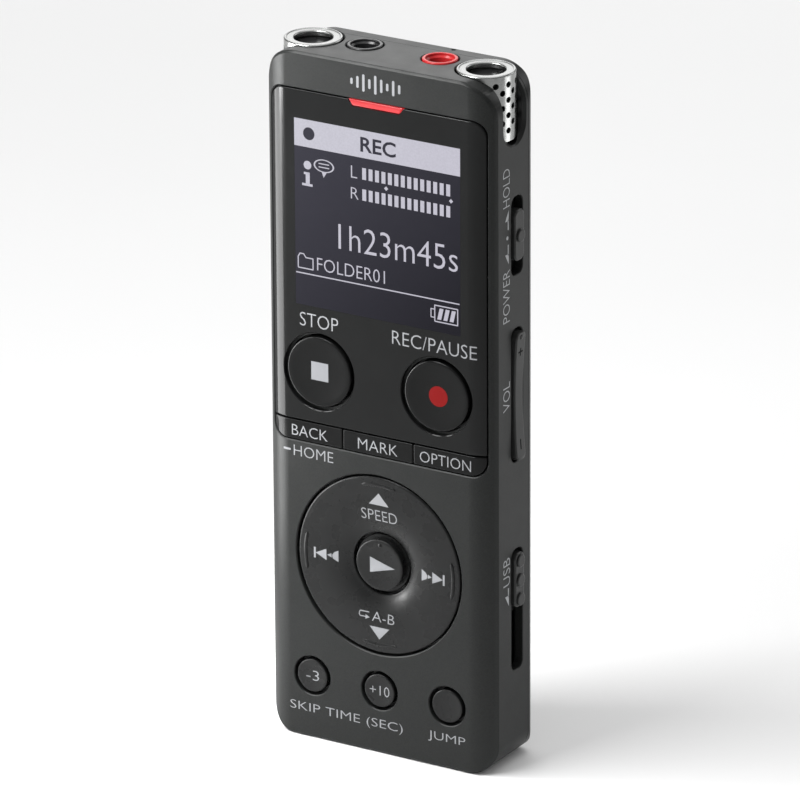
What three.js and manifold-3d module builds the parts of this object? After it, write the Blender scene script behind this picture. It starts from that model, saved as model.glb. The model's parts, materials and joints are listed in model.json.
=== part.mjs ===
// A slim hand-held sound recorder, standing upright on its bottom end.
// Millimetres. +X is the side with the switches, -Y the front, +Z up.
// The origin is the middle of the bottom end.
import * as THREE from 'three';
import { mergeVertices } from 'three/addons/utils/BufferGeometryUtils.js';
import Module from 'manifold-3d';

const wasm = await Module();
wasm.setup();

// ---------------------------------------------------------------- driving dimensions
const CASE = {
  halfWidth: 18.3, halfDepth: 6.1, height: 101.8,
  flatHalf: 14.4,      // the front is flat to here, then rolls back
  frontRoll: 5.4, backRoll: 2, topCorner: 5.2, bottomCorner: 4, edge: 0.4,
  sideWall: 1.3, endWall: 1.5, frontWall: 1.5, backWall: 1.2,
  parting: 4, partingGap: 0.2,
};
const WINDOW = { halfWidth: 17.15, bottom: 44.7, top: 96.4, corner: 2.2, thick: 0.65, pocket: 0.75 };
const SOFT_KEYS = { top: 47.75, divide: 5.7, gap: 0.1, pocket: 1.1, travelRoom: 0.3 };
const DISPLAY = { halfWidth: 13.4, bottom: 65, top: 92.2, moduleHalf: 14.8, moduleBottom: 62.7, moduleTop: 94 };
const LIGHT = { halfTop: 4.3, halfBottom: 3.7, bottom: 95.55 };
const ROUND_KEY = { x: 9.47, z: 55.45, hole: 5.72, radius: 5.12, flange: 6.2 };
const RING = { z: 28.4, hole: 13.45, radius: 13.15, flange: 14.2, bore: 4.57, domes: 9 };
const PLAY = { radius: 3.78, flange: 5.2 };
const SMALL_KEY = { x: 11.03, z: 9.5, hole: 2.95, radius: 2.44, flange: 3.3 };
const LAYERS = {
  keyFlange: -4.3, keyFlangeBack: -3.9, keyNub: -3.3,
  dome: -2.9, sheet: -2.62, board: -2.35, boardBack: -1.55,
};
const SLOT = { y: 1.1, halfWidth: 1.55, corner: 1.2, knobHalf: 1.25, knobCorner: 1 };
const HOLD = { slot: [72.5, 84.1], knob: [74.2, 81.85], out: 19 };
const VOLUME = { slot: [45, 64.75], knob: [45.25, 64.5], pivotX: 15.6, end: 19.1, waist: 18.6 };
const USB = {
  slot: [14.2, 32.3], knob: [23, 31.1], bumps: [30, 26.85, 23.8], out: 18.9,
  plugX: 9.2, plugWidth: 12, plugDepth: 4.5, skin: 0.3, tip: 0.3, plugTop: 19.2, carriageTop: 33.4,
};
const MIC = {
  x: 13.8, y: 0.3, radius: 4.1, bore: 3.5, mouth: 2.71, top: 102, bottom: 91.8,
  channel: 4.3, notchHalf: 2.65, notchBottom: 91.95, hole: 0.4, pitch: 2.2, firstHole: 100.57,
};
const JACK = { x: 6, y: 1.15, hole: 2.65, collar: 2.5, bore: 1.75, top: 101.95, body: 88.2 };
const CARD = { bottom: 51.6, top: 66.4, y: 1.1, halfWidth: 2 };
const SPEAKER = { x: -7.5, z: 22, radius: 8, hole: 0.55, pitch: 2.1 };
const CASE_SCREWS = [[-14.6, 3.9], [0.4, 3.6], [0, 98.2]];
const BOARD_SCREWS = [[-15.3, 42.4], [15.3, 42.4]];

const PIVOT_Z = (VOLUME.knob[0] + VOLUME.knob[1]) / 2;
const FRONT = -CASE.halfDepth;
const INNER_X = CASE.halfWidth - CASE.sideWall;
const INNER_FRONT = FRONT + CASE.frontWall;
const INNER_BACK = CASE.halfDepth - CASE.backWall;
const INNER_TOP = CASE.height - CASE.endWall;

// ---------------------------------------------------------------- finishes
function finish(color, roughness, metalness = 0, extra = {}) {
  return new THREE.MeshStandardMaterial({ color, roughness, metalness, ...extra });
}
const FINISH = {
  case: finish(0x4a4c4b, 0.42, 0.3),
  window: finish(0x141517, 0.12, 0, { transparent: true, opacity: 0.9 }),
  key: finish(0x2b2c2c, 0.3, 0.1),
  red: finish(0xd02030, 0.3),
  metal: finish(0xc8cac9, 0.28, 1),
  darkPlastic: finish(0x202122, 0.55),
  rubber: finish(0x2e2f31, 0.8),
  board: finish(0x1f4a33, 0.5),
  gold: finish(0xc79a4a, 0.35, 1),
  screen: finish(0x1b1a21, 0.2),
  foil: finish(0x8f9496, 0.4, 0.6),
  flex: finish(0x8a4d1f, 0.45),
};

// ---------------------------------------------------------------- solids
// Only positions, shared corners, no collapsed faces, and faces that point out.
function closed(geometry) {
  const bare = new THREE.BufferGeometry();
  bare.setAttribute('position', geometry.getAttribute('position'));
  if (geometry.index) bare.setIndex(geometry.index);
  const merged = mergeVertices(bare, 1e-4);
  const index = Array.from(merged.index.array);
  const faces = [];
  for (let i = 0; i < index.length; i += 3) {
    const [a, b, c] = index.slice(i, i + 3);
    if (a !== b && b !== c && c !== a) faces.push([a, b, c]);
  }
  const p = merged.getAttribute('position');
  const corner = (i) => new THREE.Vector3().fromBufferAttribute(p, i);
  const volume = faces.reduce((sum, [a, b, c]) => sum + corner(a).dot(corner(b).cross(corner(c))), 0);
  merged.setIndex(faces.flatMap(([a, b, c]) => (volume > 0 ? [a, b, c] : [a, c, b])));
  return merged;
}

function solid(geometry) {
  const g = closed(geometry);
  return new wasm.Manifold(new wasm.Mesh({
    numProp: 3,
    vertProperties: new Float32Array(g.getAttribute('position').array),
    triVerts: new Uint32Array(g.index.array),
  }));
}

function geometryOf(manifold) {
  const mesh = manifold.getMesh();
  const g = new THREE.BufferGeometry();
  g.setAttribute('position', new THREE.BufferAttribute(new Float32Array(mesh.vertProperties), 3));
  g.setIndex(Array.from(mesh.triVerts));
  return g;
}

const joined = (...parts) => parts.reduce((all, part) => all.add(part));
const cut = (body, ...tools) => tools.reduce((all, tool) => all.subtract(tool), body);

// A flat outline pulled along one axis. The outline is (x, y), (x, z) or (y, z).
function alongZ(shape, z0, z1, curveSegments = 4) {
  return solid(new THREE.ExtrudeGeometry(shape, { depth: z1 - z0, bevelEnabled: false, curveSegments })
    .translate(0, 0, z0));
}
function alongY(shape, y0, y1, curveSegments = 4) {
  return solid(new THREE.ExtrudeGeometry(shape, { depth: y1 - y0, bevelEnabled: false, curveSegments })
    .rotateX(Math.PI / 2).translate(0, y1, 0));
}
function alongX(shape, x0, x1, curveSegments = 4) {
  return solid(new THREE.ExtrudeGeometry(shape, { depth: x1 - x0, bevelEnabled: false, curveSegments })
    .rotateX(Math.PI / 2).rotateZ(Math.PI / 2).translate(x0, 0, 0));
}
function box(x0, x1, y0, y1, z0, z1) {
  return solid(new THREE.BoxGeometry(x1 - x0, y1 - y0, z1 - z0)
    .translate((x0 + x1) / 2, (y0 + y1) / 2, (z0 + z1) / 2));
}

function disc(x, y, radius) {
  const s = new THREE.Shape();
  s.absarc(x, y, radius, 0, 2 * Math.PI, false);
  return s;
}
function polygon(points) {
  return new THREE.Shape(points.map(([x, y]) => new THREE.Vector2(x, y)));
}
// A rectangle with its own radius at the lower and the upper corners.
function rounded(x0, y0, x1, y1, lower, upper = lower) {
  const s = new THREE.Shape();
  const quarter = Math.PI / 2;
  s.moveTo(x0 + lower, y0);
  s.absarc(x1 - lower, y0 + lower, lower, -quarter, 0, false);
  s.absarc(x1 - upper, y1 - upper, upper, 0, quarter, false);
  s.absarc(x0 + upper, y1 - upper, upper, quarter, 2 * quarter, false);
  s.absarc(x0 + lower, y0 + lower, lower, 2 * quarter, 3 * quarter, false);
  return s;
}

// A turned piece: a closed outline of (radius, height) spun about its own axis.
function turned(profile, segments = 24) {
  const points = [...profile, profile[0]].map(([r, h]) => new THREE.Vector2(r, h));
  return new THREE.LatheGeometry(points, segments);
}
const turnedY = (x, z, profile, segments) => solid(turned(profile, segments).translate(x, 0, z));
const turnedZ = (x, y, profile, segments) => (
  solid(turned(profile, segments).rotateX(Math.PI / 2).translate(x, y, 0)));

// ---------------------------------------------------------------- the outer form
function sectionShape() {
  const s = new THREE.Shape();
  const { halfWidth: w, halfDepth: d, flatHalf: f, frontRoll: r, backRoll: b } = CASE;
  const turn = Math.acos((w - f) / r);
  s.moveTo(-f, -d);
  s.absarc(f, r - d, r, -Math.PI / 2, -turn, false);
  s.absarc(w - b, d - b, b, 0, Math.PI / 2, false);
  s.absarc(b - w, d - b, b, Math.PI / 2, Math.PI, false);
  s.absarc(-f, r - d, r, Math.PI + turn, 1.5 * Math.PI, false);
  return s;
}
const section = alongZ(sectionShape(), -1, CASE.height + 1, 2);

function envelope() {
  const { halfWidth: w, halfDepth: d, height: h, edge } = CASE;
  const outline = new THREE.ExtrudeGeometry(
    rounded(-w, 0, w, h, CASE.bottomCorner, CASE.topCorner),
    { depth: 2 * (d - edge), bevelThickness: edge, bevelSize: edge, bevelOffset: -edge,
      bevelSegments: 1, curveSegments: 3 },
  ).rotateX(Math.PI / 2).translate(0, d - edge, 0);
  return solid(outline).intersect(section);
}
const form = envelope();

// A layer that follows the rolled front, from `front` to `back` behind it, inside an outline.
const layer = (shape, front, back) => (
  alongY(shape, FRONT - 1, -2).intersect(section.translate([0, front, 0])
    .subtract(section.translate([0, back, 0]))));
// Everything in front of `depth` behind the rolled front, inside an outline.
const pocket = (shape, depth) => alongY(shape, FRONT - 1, -2).subtract(section.translate([0, depth, 0]));

function cavity() {
  const room = polygon([
    [-INNER_X, -3], [-15.6, INNER_FRONT], [15.6, INNER_FRONT], [INNER_X, -3],
    [INNER_X, INNER_BACK], [-INNER_X, INNER_BACK],
  ]);
  const outline = rounded(-INNER_X, CASE.endWall, INNER_X, INNER_TOP, 2.6, 3.8);
  return alongZ(room, 0, CASE.height).intersect(alongY(outline, -8, 8));
}
const room = cavity();

const windowShape = (grow = 0) => rounded(
  -WINDOW.halfWidth - grow, WINDOW.bottom - grow, WINDOW.halfWidth + grow, WINDOW.top + grow,
  WINDOW.corner + grow);
const sideSlot = ([z0, z1]) => (
  rounded(SLOT.y - SLOT.halfWidth, z0, SLOT.y + SLOT.halfWidth, z1, SLOT.corner));
const sideKnob = ([z0, z1]) => (
  rounded(SLOT.y - SLOT.knobHalf, z0, SLOT.y + SLOT.knobHalf, z1, SLOT.knobCorner));

// ---------------------------------------------------------------- casing
function micChannel(side) {
  const x = side * MIC.x;
  const arch = new THREE.Shape();
  arch.moveTo(MIC.y + MIC.notchHalf, CASE.height + 2);
  arch.lineTo(MIC.y - MIC.notchHalf, CASE.height + 2);
  arch.absarc(MIC.y, MIC.notchBottom + MIC.notchHalf, MIC.notchHalf, Math.PI, 2 * Math.PI, false);
  return joined(
    alongZ(disc(x, MIC.y, MIC.channel), MIC.bottom - 0.1, CASE.height + 1, 8),
    alongX(arch, side > 0 ? MIC.x : -CASE.halfWidth - 1, side > 0 ? CASE.halfWidth + 1 : -MIC.x, 4),
  );
}

function frontOpenings() {
  const soft = rounded(-WINDOW.halfWidth, WINDOW.bottom, WINDOW.halfWidth, SOFT_KEYS.top, 1, 0.01);
  const keys = [-1, 1].map((s) => alongY(disc(s * ROUND_KEY.x, ROUND_KEY.z, 5.4), -8, -4, 8));
  const small = [-1, 0, 1].map((s) => (
    alongY(disc(s * SMALL_KEY.x, SMALL_KEY.z, SMALL_KEY.hole), -8, -4, 7)));
  const stems = [-1, 0, 1].map((s) => box(s * 10 - 2.8, s * 10 + 2.8, -8, -4, 45.2, 47.3));
  return joined(
    pocket(windowShape(0.1), WINDOW.pocket),
    pocket(soft, SOFT_KEYS.pocket),
    alongY(rounded(-15, 62.5, 15, 94.2, 0.6), -8, -4, 2),
    box(-4.6, 4.6, -8, -4, 95.35, 96.5),
    alongY(disc(0, RING.z, RING.hole), -8, -4, 14),
    ...keys, ...small, ...stems,
  );
}

function sideOpenings() {
  const out = CASE.halfWidth + 1;
  const slots = [HOLD.slot, VOLUME.slot, USB.slot].map((s) => alongX(sideSlot(s), INNER_X - 0.5, out, 2));
  const card = rounded(
    CARD.y - CARD.halfWidth - 0.25, CARD.bottom - 0.5, CARD.y + CARD.halfWidth + 0.25, CARD.top + 0.25, 0.6);
  return joined(...slots, alongX(card, -out, 0.5 - INNER_X, 2), micChannel(1), micChannel(-1));
}

function endOpenings() {
  const jacks = [-1, 1].map((s) => (
    alongZ(disc(s * JACK.x, JACK.y, JACK.hole), INNER_TOP - 0.5, CASE.height + 1, 7)));
  const half = USB.plugWidth / 2 + 0.25;
  const deep = USB.plugDepth / 2 + 0.2;
  const plug = alongZ(
    rounded(USB.plugX - half, SLOT.y - deep, USB.plugX + half, SLOT.y + deep, 0.5),
    -1, CASE.endWall + 0.5, 2);
  return joined(...jacks, plug);
}

// Posts for the screws, and two ears that hold the volume rocker's pin.
function caseBosses() {
  const end = CASE.parting - CASE.partingGap / 2;
  const posts = CASE_SCREWS.map(([x, z]) => alongY(disc(x, z, 1.7), INNER_FRONT - 0.2, end, 4));
  const shorts = BOARD_SCREWS.map(([x, z]) => alongY(disc(x, z, 1.2), INNER_FRONT - 0.2, -2.4, 4));
  const ears = [[-1.3, -0.7], [3.1, 3.8]].map(([y0, y1]) => (
    box(VOLUME.pivotX - 1, INNER_X + 0.2, y0, y1, PIVOT_Z - 1.1, PIVOT_Z + 1.1)));
  return joined(...posts, ...shorts, ...ears).intersect(form);
}

function frontCase() {
  const back = CASE.parting - CASE.partingGap / 2;
  const bores = joined(
    ...CASE_SCREWS.map(([x, z]) => alongY(disc(x, z, 0.9), -3.2, 5, 3)),
    ...BOARD_SCREWS.map(([x, z]) => alongY(disc(x, z, 0.75), -4.9, -2, 3)),
    alongY(disc(VOLUME.pivotX, PIVOT_Z, 0.62), -1.4, 3.9, 4),
  );
  return cut(
    cut(form, room).add(caseBosses()),
    box(-20, 20, back, 8, -1, 105), bores, frontOpenings(), sideOpenings(), endOpenings());
}

function speakerHoles() {
  const rows = [-2, -1, 0, 1, 2];
  return joined(...rows.flatMap((row) => {
    const count = 5 - Math.abs(row);
    return Array.from({ length: count }, (_, i) => {
      const x = SPEAKER.x + (i - (count - 1) / 2) * SPEAKER.pitch;
      const z = SPEAKER.z + row * SPEAKER.pitch * Math.sin(Math.PI / 3);
      return alongY(disc(x, z, SPEAKER.hole), 4, 7, 3);
    });
  }));
}

function rearCover() {
  const front = CASE.parting + CASE.partingGap / 2;
  const pads = joined(...CASE_SCREWS.map(([x, z]) => alongY(disc(x, z, 1.7), front, INNER_BACK + 0.1, 4)));
  const screws = joined(...CASE_SCREWS.flatMap(([x, z]) => [
    alongY(disc(x, z, 0.95), 3, 7, 3), alongY(disc(x, z, 1.75), 5.35, 7, 5)]));
  return cut(
    cut(form, room).add(pads.intersect(form)),
    box(-20, 20, -8, front, -1, 105), screws, speakerHoles(),
    micChannel(1), micChannel(-1),
    alongZ(disc(5.66, 5.35, 0.3), INNER_TOP - 1, 103, 3));
}

function screw(x, z, headBack, head, headThick, shank, tip) {
  const under = headBack - headThick;
  const body = turnedY(x, z, [
    [0, tip], [shank, tip + 0.5], [shank, under], [head, under], [head, headBack], [0, headBack],
  ], 10);
  const cross = [[0.8, 0.16], [0.16, 0.8]].map(([a, b]) => (
    box(x - a, x + a, headBack - headThick * 0.6, headBack + 1, z - b, z + b)));
  return cut(body, ...cross);
}

// ---------------------------------------------------------------- window, display and light
function windowPanel() {
  const shape = rounded(
    -WINDOW.halfWidth, SOFT_KEYS.top, WINDOW.halfWidth, WINDOW.top, 0.01, WINDOW.corner);
  const holes = [-1, 1].map((s) => alongY(disc(s * ROUND_KEY.x, ROUND_KEY.z, ROUND_KEY.hole), -8, -4, 9));
  return cut(layer(shape, 0, WINDOW.thick), ...holes, box(-4.5, 4.5, -8, -4, 95.4, 97));
}

function displayGasket() {
  const ring = rounded(-DISPLAY.moduleHalf, DISPLAY.moduleBottom, DISPLAY.moduleHalf, DISPLAY.moduleTop, 0.5);
  const view = rounded(-13.45, DISPLAY.bottom - 0.1, 13.45, DISPLAY.top + 0.1, 0.3);
  return cut(alongY(ring, -5.4, -5.1, 2), alongY(view, -8, -4, 2));
}

const displayModule = () => alongY(
  rounded(-DISPLAY.moduleHalf, DISPLAY.moduleBottom, DISPLAY.moduleHalf, DISPLAY.moduleTop, 0.5), -5.05, -4.05, 2);

const displayFlex = () => alongX(
  polygon([[-3.95, 75], [-3.95, 60.7], [-2.45, 60.7], [-2.45, 60.9], [-3.75, 60.9], [-3.75, 75]]), -4, 4);

const lightBar = () => alongY(polygon([
  [-LIGHT.halfBottom, LIGHT.bottom], [LIGHT.halfBottom, LIGHT.bottom],
  [LIGHT.halfTop, WINDOW.top], [-LIGHT.halfTop, WINDOW.top]]), FRONT, -3.5);

// ---------------------------------------------------------------- keys
// A round key: a dished cap in the front, a flange behind the wall, and a nub over its dome.
function roundKey(x, z, radius, flange, dish) {
  return turnedY(x, z, [
    [0, FRONT + dish], [radius - 0.25, FRONT], [radius, FRONT + 0.2],
    [radius, LAYERS.keyFlange], [flange, LAYERS.keyFlange], [flange, LAYERS.keyFlangeBack],
    [1.1, LAYERS.keyFlangeBack], [1.1, LAYERS.keyNub], [0, LAYERS.keyNub],
  ], 18);
}

// One of the three bar keys under the window, with a flanged stem through the case.
function softKey(x0, x1) {
  const { gap, pocket: depth, travelRoom } = SOFT_KEYS;
  const z0 = WINDOW.bottom + gap;
  const z1 = SOFT_KEYS.top - 0.15;
  const middle = Math.abs(x0 + x1) < 1 ? 0 : 10 * Math.sign(x0 + x1);
  const cap = layer(rounded(x0, z0, x1, z1, 0.9, 0.2), 0, depth - travelRoom - 0.05);
  return joined(
    cap,
    box(middle - 2.5, middle + 2.5, -5.6, LAYERS.keyFlangeBack, 45.45, 47.05),
    box(middle - 3.4, middle + 3.4, LAYERS.keyFlange, LAYERS.keyFlangeBack, 44.8, 47.6),
    alongY(disc(middle, 46.2, 1), -4, LAYERS.keyNub, 5),
  );
}

function controlRing() {
  return turnedY(0, RING.z, [
    [RING.bore, -5.55], [9, -5.7], [RING.radius - 0.35, -6.05],
    [RING.radius, -5.85], [RING.radius, -4.2], [RING.flange, -4.2], [RING.flange, -3.8],
    [11.6, -3.8], [11.6, -4.4], [RING.bore, -4.4],
  ], 30);
}

// The silicone pad under the ring, with a nub over each of its four domes.
function ringPad() {
  const ring = turnedY(0, RING.z, [[6, -4.1], [11.2, -4.1], [11.2, -3.7], [6, -3.7]], 20);
  const nubs = [0, 1, 2, 3].map((i) => {
    const a = (i * Math.PI) / 2;
    return alongY(disc(RING.domes * Math.sin(a), RING.z + RING.domes * Math.cos(a), 1.1), -3.9, -3.4, 5);
  });
  return joined(ring, ...nubs);
}

const playButton = () => turnedY(0, RING.z, [
  [0, -5.75], [PLAY.radius - 0.2, -5.9], [PLAY.radius, -5.7],
  [PLAY.radius, -4.1], [PLAY.flange, -4.1], [PLAY.flange, -3.7], [1.1, -3.7], [1.1, LAYERS.keyNub],
  [0, LAYERS.keyNub],
], 18);

function domeSheet() {
  const domes = [
    [-ROUND_KEY.x, ROUND_KEY.z], [ROUND_KEY.x, ROUND_KEY.z], [-10, 46.2], [0, 46.2], [10, 46.2],
    [0, RING.z], [-RING.domes, RING.z], [RING.domes, RING.z], [0, RING.z - RING.domes],
    [0, RING.z + RING.domes], [-SMALL_KEY.x, SMALL_KEY.z], [0, SMALL_KEY.z], [SMALL_KEY.x, SMALL_KEY.z],
  ];
  const sheet = alongY(rounded(-13.6, 7, 13.6, 58.5, 1), LAYERS.sheet, -2.42, 2);
  return joined(sheet, ...domes.map(([x, z]) => (
    turnedY(x, z, [[0, LAYERS.dome], [1.2, -2.8], [1.7, -2.5], [0, -2.5]], 8))));
}

// ---------------------------------------------------------------- side controls
function holdSlider() {
  const bump = alongX(disc(SLOT.y, 78.1, 0.7), HOLD.out - 0.1, HOLD.out + 0.2, 6);
  return joined(
    alongX(sideKnob(HOLD.knob), 16.7, HOLD.out, 3),
    bump,
    box(15.9, 16.8, SLOT.y - 2.1, SLOT.y + 2.1, 73, 83));
}

function volumeRocker() {
  const outer = new THREE.Shape();
  const { end, waist, knob: [z0, z1] } = VOLUME;
  outer.moveTo(16.4, z0);
  outer.lineTo(end, z0);
  outer.quadraticCurveTo(2 * waist - end, PIVOT_Z, end, z1);
  outer.lineTo(16.4, z1);
  const bar = alongY(outer, SLOT.y - 3, SLOT.y + 3, 8).intersect(alongX(sideKnob(VOLUME.knob), 15, 20, 3));
  const hub = joined(
    alongY(disc(VOLUME.pivotX, PIVOT_Z, 1.1), SLOT.y - 1.25, SLOT.y + 1.25, 6),
    box(VOLUME.pivotX, 17, SLOT.y - 1.25, SLOT.y + 1.25, PIVOT_Z - 1, PIVOT_Z + 1));
  const nubs = [61.5, 47.6].map((z) => box(15.8, 17, SLOT.y - 0.7, SLOT.y + 0.7, z - 0.7, z + 0.7));
  const dot = alongX(disc(SLOT.y, 63.2, 0.35), 18.8, end + 0.1, 4);
  return cut(joined(bar, hub, dot, ...nubs), alongY(disc(VOLUME.pivotX, PIVOT_Z, 0.62), -4, 6, 4));
}

const rockerPin = () => alongY(disc(VOLUME.pivotX, PIVOT_Z, 0.5), -1.2, 3.7, 4);

// A small push switch: a square can and its plunger.
const sideSwitch = (z) => joined(
  box(13, 15, SLOT.y - 1.5, SLOT.y + 1.5, z - 1.5, z + 1.5),
  alongX(disc(SLOT.y, z, 0.7), 14.8, 15.3, 5));

// ---------------------------------------------------------------- sliding plug
function usbKnob() {
  const bumps = USB.bumps.map((z) => alongX(disc(SLOT.y, z, 0.7), USB.out - 0.1, USB.out + 0.25, 4));
  return joined(
    alongX(sideKnob(USB.knob), 16.5, USB.out, 3),
    box(16.45, 16.8, SLOT.y - 2.1, SLOT.y + 2.1, 22.2, 31.9),
    ...bumps);
}

const usbCarriage = () => box(3.6, 16.3, -1, 3.2, USB.plugTop + 0.2, USB.carriageTop);

function usbShell() {
  const tube = (inset) => rounded(
    USB.plugX - USB.plugWidth / 2 + inset, SLOT.y - USB.plugDepth / 2 + inset,
    USB.plugX + USB.plugWidth / 2 - inset, SLOT.y + USB.plugDepth / 2 - inset, 0.5 - inset);
  const windows = [-2.5, 2.5].map((dx) => (
    box(USB.plugX + dx - 1.1, USB.plugX + dx + 1.1, -3, 0, USB.tip + 5, USB.tip + 7.2)));
  return cut(
    alongZ(tube(0), USB.tip, USB.plugTop, 2),
    alongZ(tube(USB.skin), USB.tip - 1, USB.plugTop + 1, 2), ...windows);
}

const usbTongue = () => box(
  USB.plugX - 5.4, USB.plugX + 5.4, SLOT.y + 0.1, SLOT.y + 1.85, USB.tip + 0.8, USB.plugTop);

// A folded ribbon from the carriage up to the board; it opens out as the plug slides.
const usbFlex = () => alongX(polygon([
  [0.2, 33.7], [0.5, 33.7], [0.5, 35.6], [2.2, 36], [2.2, 38.4], [-1.2, 39.4],
  [-1.2, 41.6], [-1.45, 41.6], [-1.45, 39.2], [1.95, 38.1], [1.95, 36.2], [0.2, 35.9]]), 6, 12);

function usbGuide() {
  return joined(box(2.6, 15.8, 3.65, 4.3, 6, 40), box(2.6, 3, -0.8, 3.8, 12, 40));
}

// ---------------------------------------------------------------- sound
// The sound holes lie in staggered columns round the side that faces out.
function micShell(side) {
  const tube = turnedZ(side * MIC.x, MIC.y, [
    [MIC.bore, MIC.bottom], [MIC.radius, MIC.bottom], [MIC.radius, MIC.top - 0.2],
    [MIC.radius - 0.2, MIC.top], [MIC.mouth, MIC.top], [MIC.mouth, 101.3], [MIC.bore, 101.3],
  ], 24);
  const holes = [];
  for (let column = 0; column < 8; column += 1) {
    const angle = ((-59.1 + 17.6 * column) * Math.PI) / 180;
    const odd = column % 2;
    for (let row = 0; row < 4 - odd; row += 1) {
      const z = MIC.firstHole - MIC.pitch * (row + odd / 2);
      holes.push(solid(new THREE.CylinderGeometry(MIC.hole, MIC.hole, 1.6, 4)
        .rotateZ(Math.PI / 2).translate(MIC.radius, 0, 0).rotateZ(angle)
        .scale(side, 1, 1).translate(side * MIC.x, MIC.y, z)));
    }
  }
  return cut(tube, joined(...holes));
}

const micScreen = (side) => alongZ(disc(side * MIC.x, MIC.y, 3.3), 100.3, 100.8, 8);
const micCapsule = (side) => alongZ(disc(side * MIC.x, MIC.y, 2.8), 92.5, 98.5, 7);
const micBoot = (side) => turnedZ(side * MIC.x, MIC.y, [[2.95, 92], [3.35, 92], [3.35, 97], [2.95, 97]], 12);

const jackCollar = (side) => turnedZ(side * JACK.x, JACK.y, [
  [1.8, INNER_TOP + 0.1], [JACK.collar, INNER_TOP + 0.1], [JACK.collar, JACK.top - 0.2],
  [JACK.collar - 0.2, JACK.top], [1.8, JACK.top]], 16);

function jackBody(side) {
  const block = box(side * JACK.x - 2.75, side * JACK.x + 2.75, JACK.y - 2.5, JACK.y + 2.5, JACK.body, INNER_TOP - 0.1);
  return cut(block, alongZ(disc(side * JACK.x, JACK.y, JACK.bore), JACK.body + 1.2, INNER_TOP + 1, 8));
}

const speaker = () => turnedY(SPEAKER.x, SPEAKER.z, [
  [0, 2.3], [5, 2.3], [5, 3], [SPEAKER.radius, 3.2], [SPEAKER.radius, 4.55], [6.8, 4.55], [5.5, 4.2],
  [0, 4.3]], 18);
const speakerGasket = () => turnedY(SPEAKER.x, SPEAKER.z, [
  [6.9, 4.62], [SPEAKER.radius, 4.62], [SPEAKER.radius, 4.85], [6.9, 4.85]], 18);

// ---------------------------------------------------------------- electronics
function mainBoard() {
  const outline = polygon([
    [-16.2, 6.4], [16.2, 6.4], [16.2, 90.6], [9.2, 90.6], [9.2, 96], [-9.2, 96], [-9.2, 90.6], [-16.2, 90.6]]);
  const holes = BOARD_SCREWS.map(([x, z]) => alongY(disc(x, z, 0.8), -4, 0, 4));
  return cut(alongY(outline, LAYERS.board, LAYERS.boardBack), ...holes);
}

const battery = () => alongY(rounded(-16, 44.6, 12.4, 86.6, 1), 0.4, 4.6, 2);
const cardSocket = () => box(-16.3, -3.6, -1.45, 0.1, CARD.bottom + 0.9, CARD.top - 0.9);
const cardCover = () => joined(
  alongX(rounded(CARD.y - CARD.halfWidth, CARD.bottom, CARD.y + CARD.halfWidth, CARD.top, 0.4),
    -CASE.halfWidth + 0.05, -INNER_X - 0.3, 2),
  box(-INNER_X - 0.4, -INNER_X + 0.5, CARD.y - 1.2, CARD.y + 1.2, 64.6, 65.8));

// ---------------------------------------------------------------- assembly
const recorder = new THREE.Group();

function add(name, shape, material) {
  const mesh = new THREE.Mesh(geometryOf(shape), material.clone());
  mesh.name = name;
  recorder.add(mesh);
}

add('front_case', frontCase(), FINISH.case);
add('rear_cover', rearCover(), FINISH.case);
CASE_SCREWS.forEach(([x, z], i) => (
  add(`case_screw_${i + 1}`, screw(x, z, 5.95, 1.55, 0.55, 0.7, -2), FINISH.metal)));
BOARD_SCREWS.forEach(([x, z], i) => (
  add(`board_screw_${i + 1}`, screw(x, z, -0.9, 1.3, 0.55, 0.6, -4.4), FINISH.metal)));
add('window_panel', windowPanel(), FINISH.window);
add('display_gasket', displayGasket(), FINISH.rubber);
add('display_module', displayModule(), FINISH.screen);
add('display_flex', displayFlex(), FINISH.flex);
add('led_light_bar', lightBar(), FINISH.red);
add('led_emitter', box(-2, 2, -3.3, -2.45, 94.5, 95.9), FINISH.gold);

add('stop_button', roundKey(-ROUND_KEY.x, ROUND_KEY.z, ROUND_KEY.radius, ROUND_KEY.flange, 0.25), FINISH.key);
add('record_button', roundKey(ROUND_KEY.x, ROUND_KEY.z, ROUND_KEY.radius, ROUND_KEY.flange, 0.25), FINISH.key);
add('back_key', softKey(SOFT_KEYS.gap - WINDOW.halfWidth, -SOFT_KEYS.divide - 0.08), FINISH.key);
add('mark_key', softKey(0.08 - SOFT_KEYS.divide, SOFT_KEYS.divide - 0.08), FINISH.key);
add('option_key', softKey(SOFT_KEYS.divide + 0.08, WINDOW.halfWidth - SOFT_KEYS.gap), FINISH.key);
add('ring_pad', ringPad(), FINISH.rubber);
add('control_ring', controlRing(), FINISH.key);
add('play_button', playButton(), FINISH.key);
add('skip_back_key', roundKey(-SMALL_KEY.x, SMALL_KEY.z, SMALL_KEY.radius, SMALL_KEY.flange, 0.15), FINISH.key);
add('skip_ahead_key', roundKey(0, SMALL_KEY.z, SMALL_KEY.radius, SMALL_KEY.flange, 0.15), FINISH.key);
add('jump_key', roundKey(SMALL_KEY.x, SMALL_KEY.z, SMALL_KEY.radius, SMALL_KEY.flange, 0.15), FINISH.key);

add('hold_slider', holdSlider(), FINISH.key);
add('hold_switch', box(13.3, 15.6, SLOT.y - 2.2, SLOT.y + 2.2, 74.5, 81.5), FINISH.foil);
add('volume_rocker', volumeRocker(), FINISH.key);
add('rocker_pin', rockerPin(), FINISH.metal);
add('volume_switch_up', sideSwitch(61.5), FINISH.foil);
add('volume_switch_down', sideSwitch(47.6), FINISH.foil);

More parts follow.
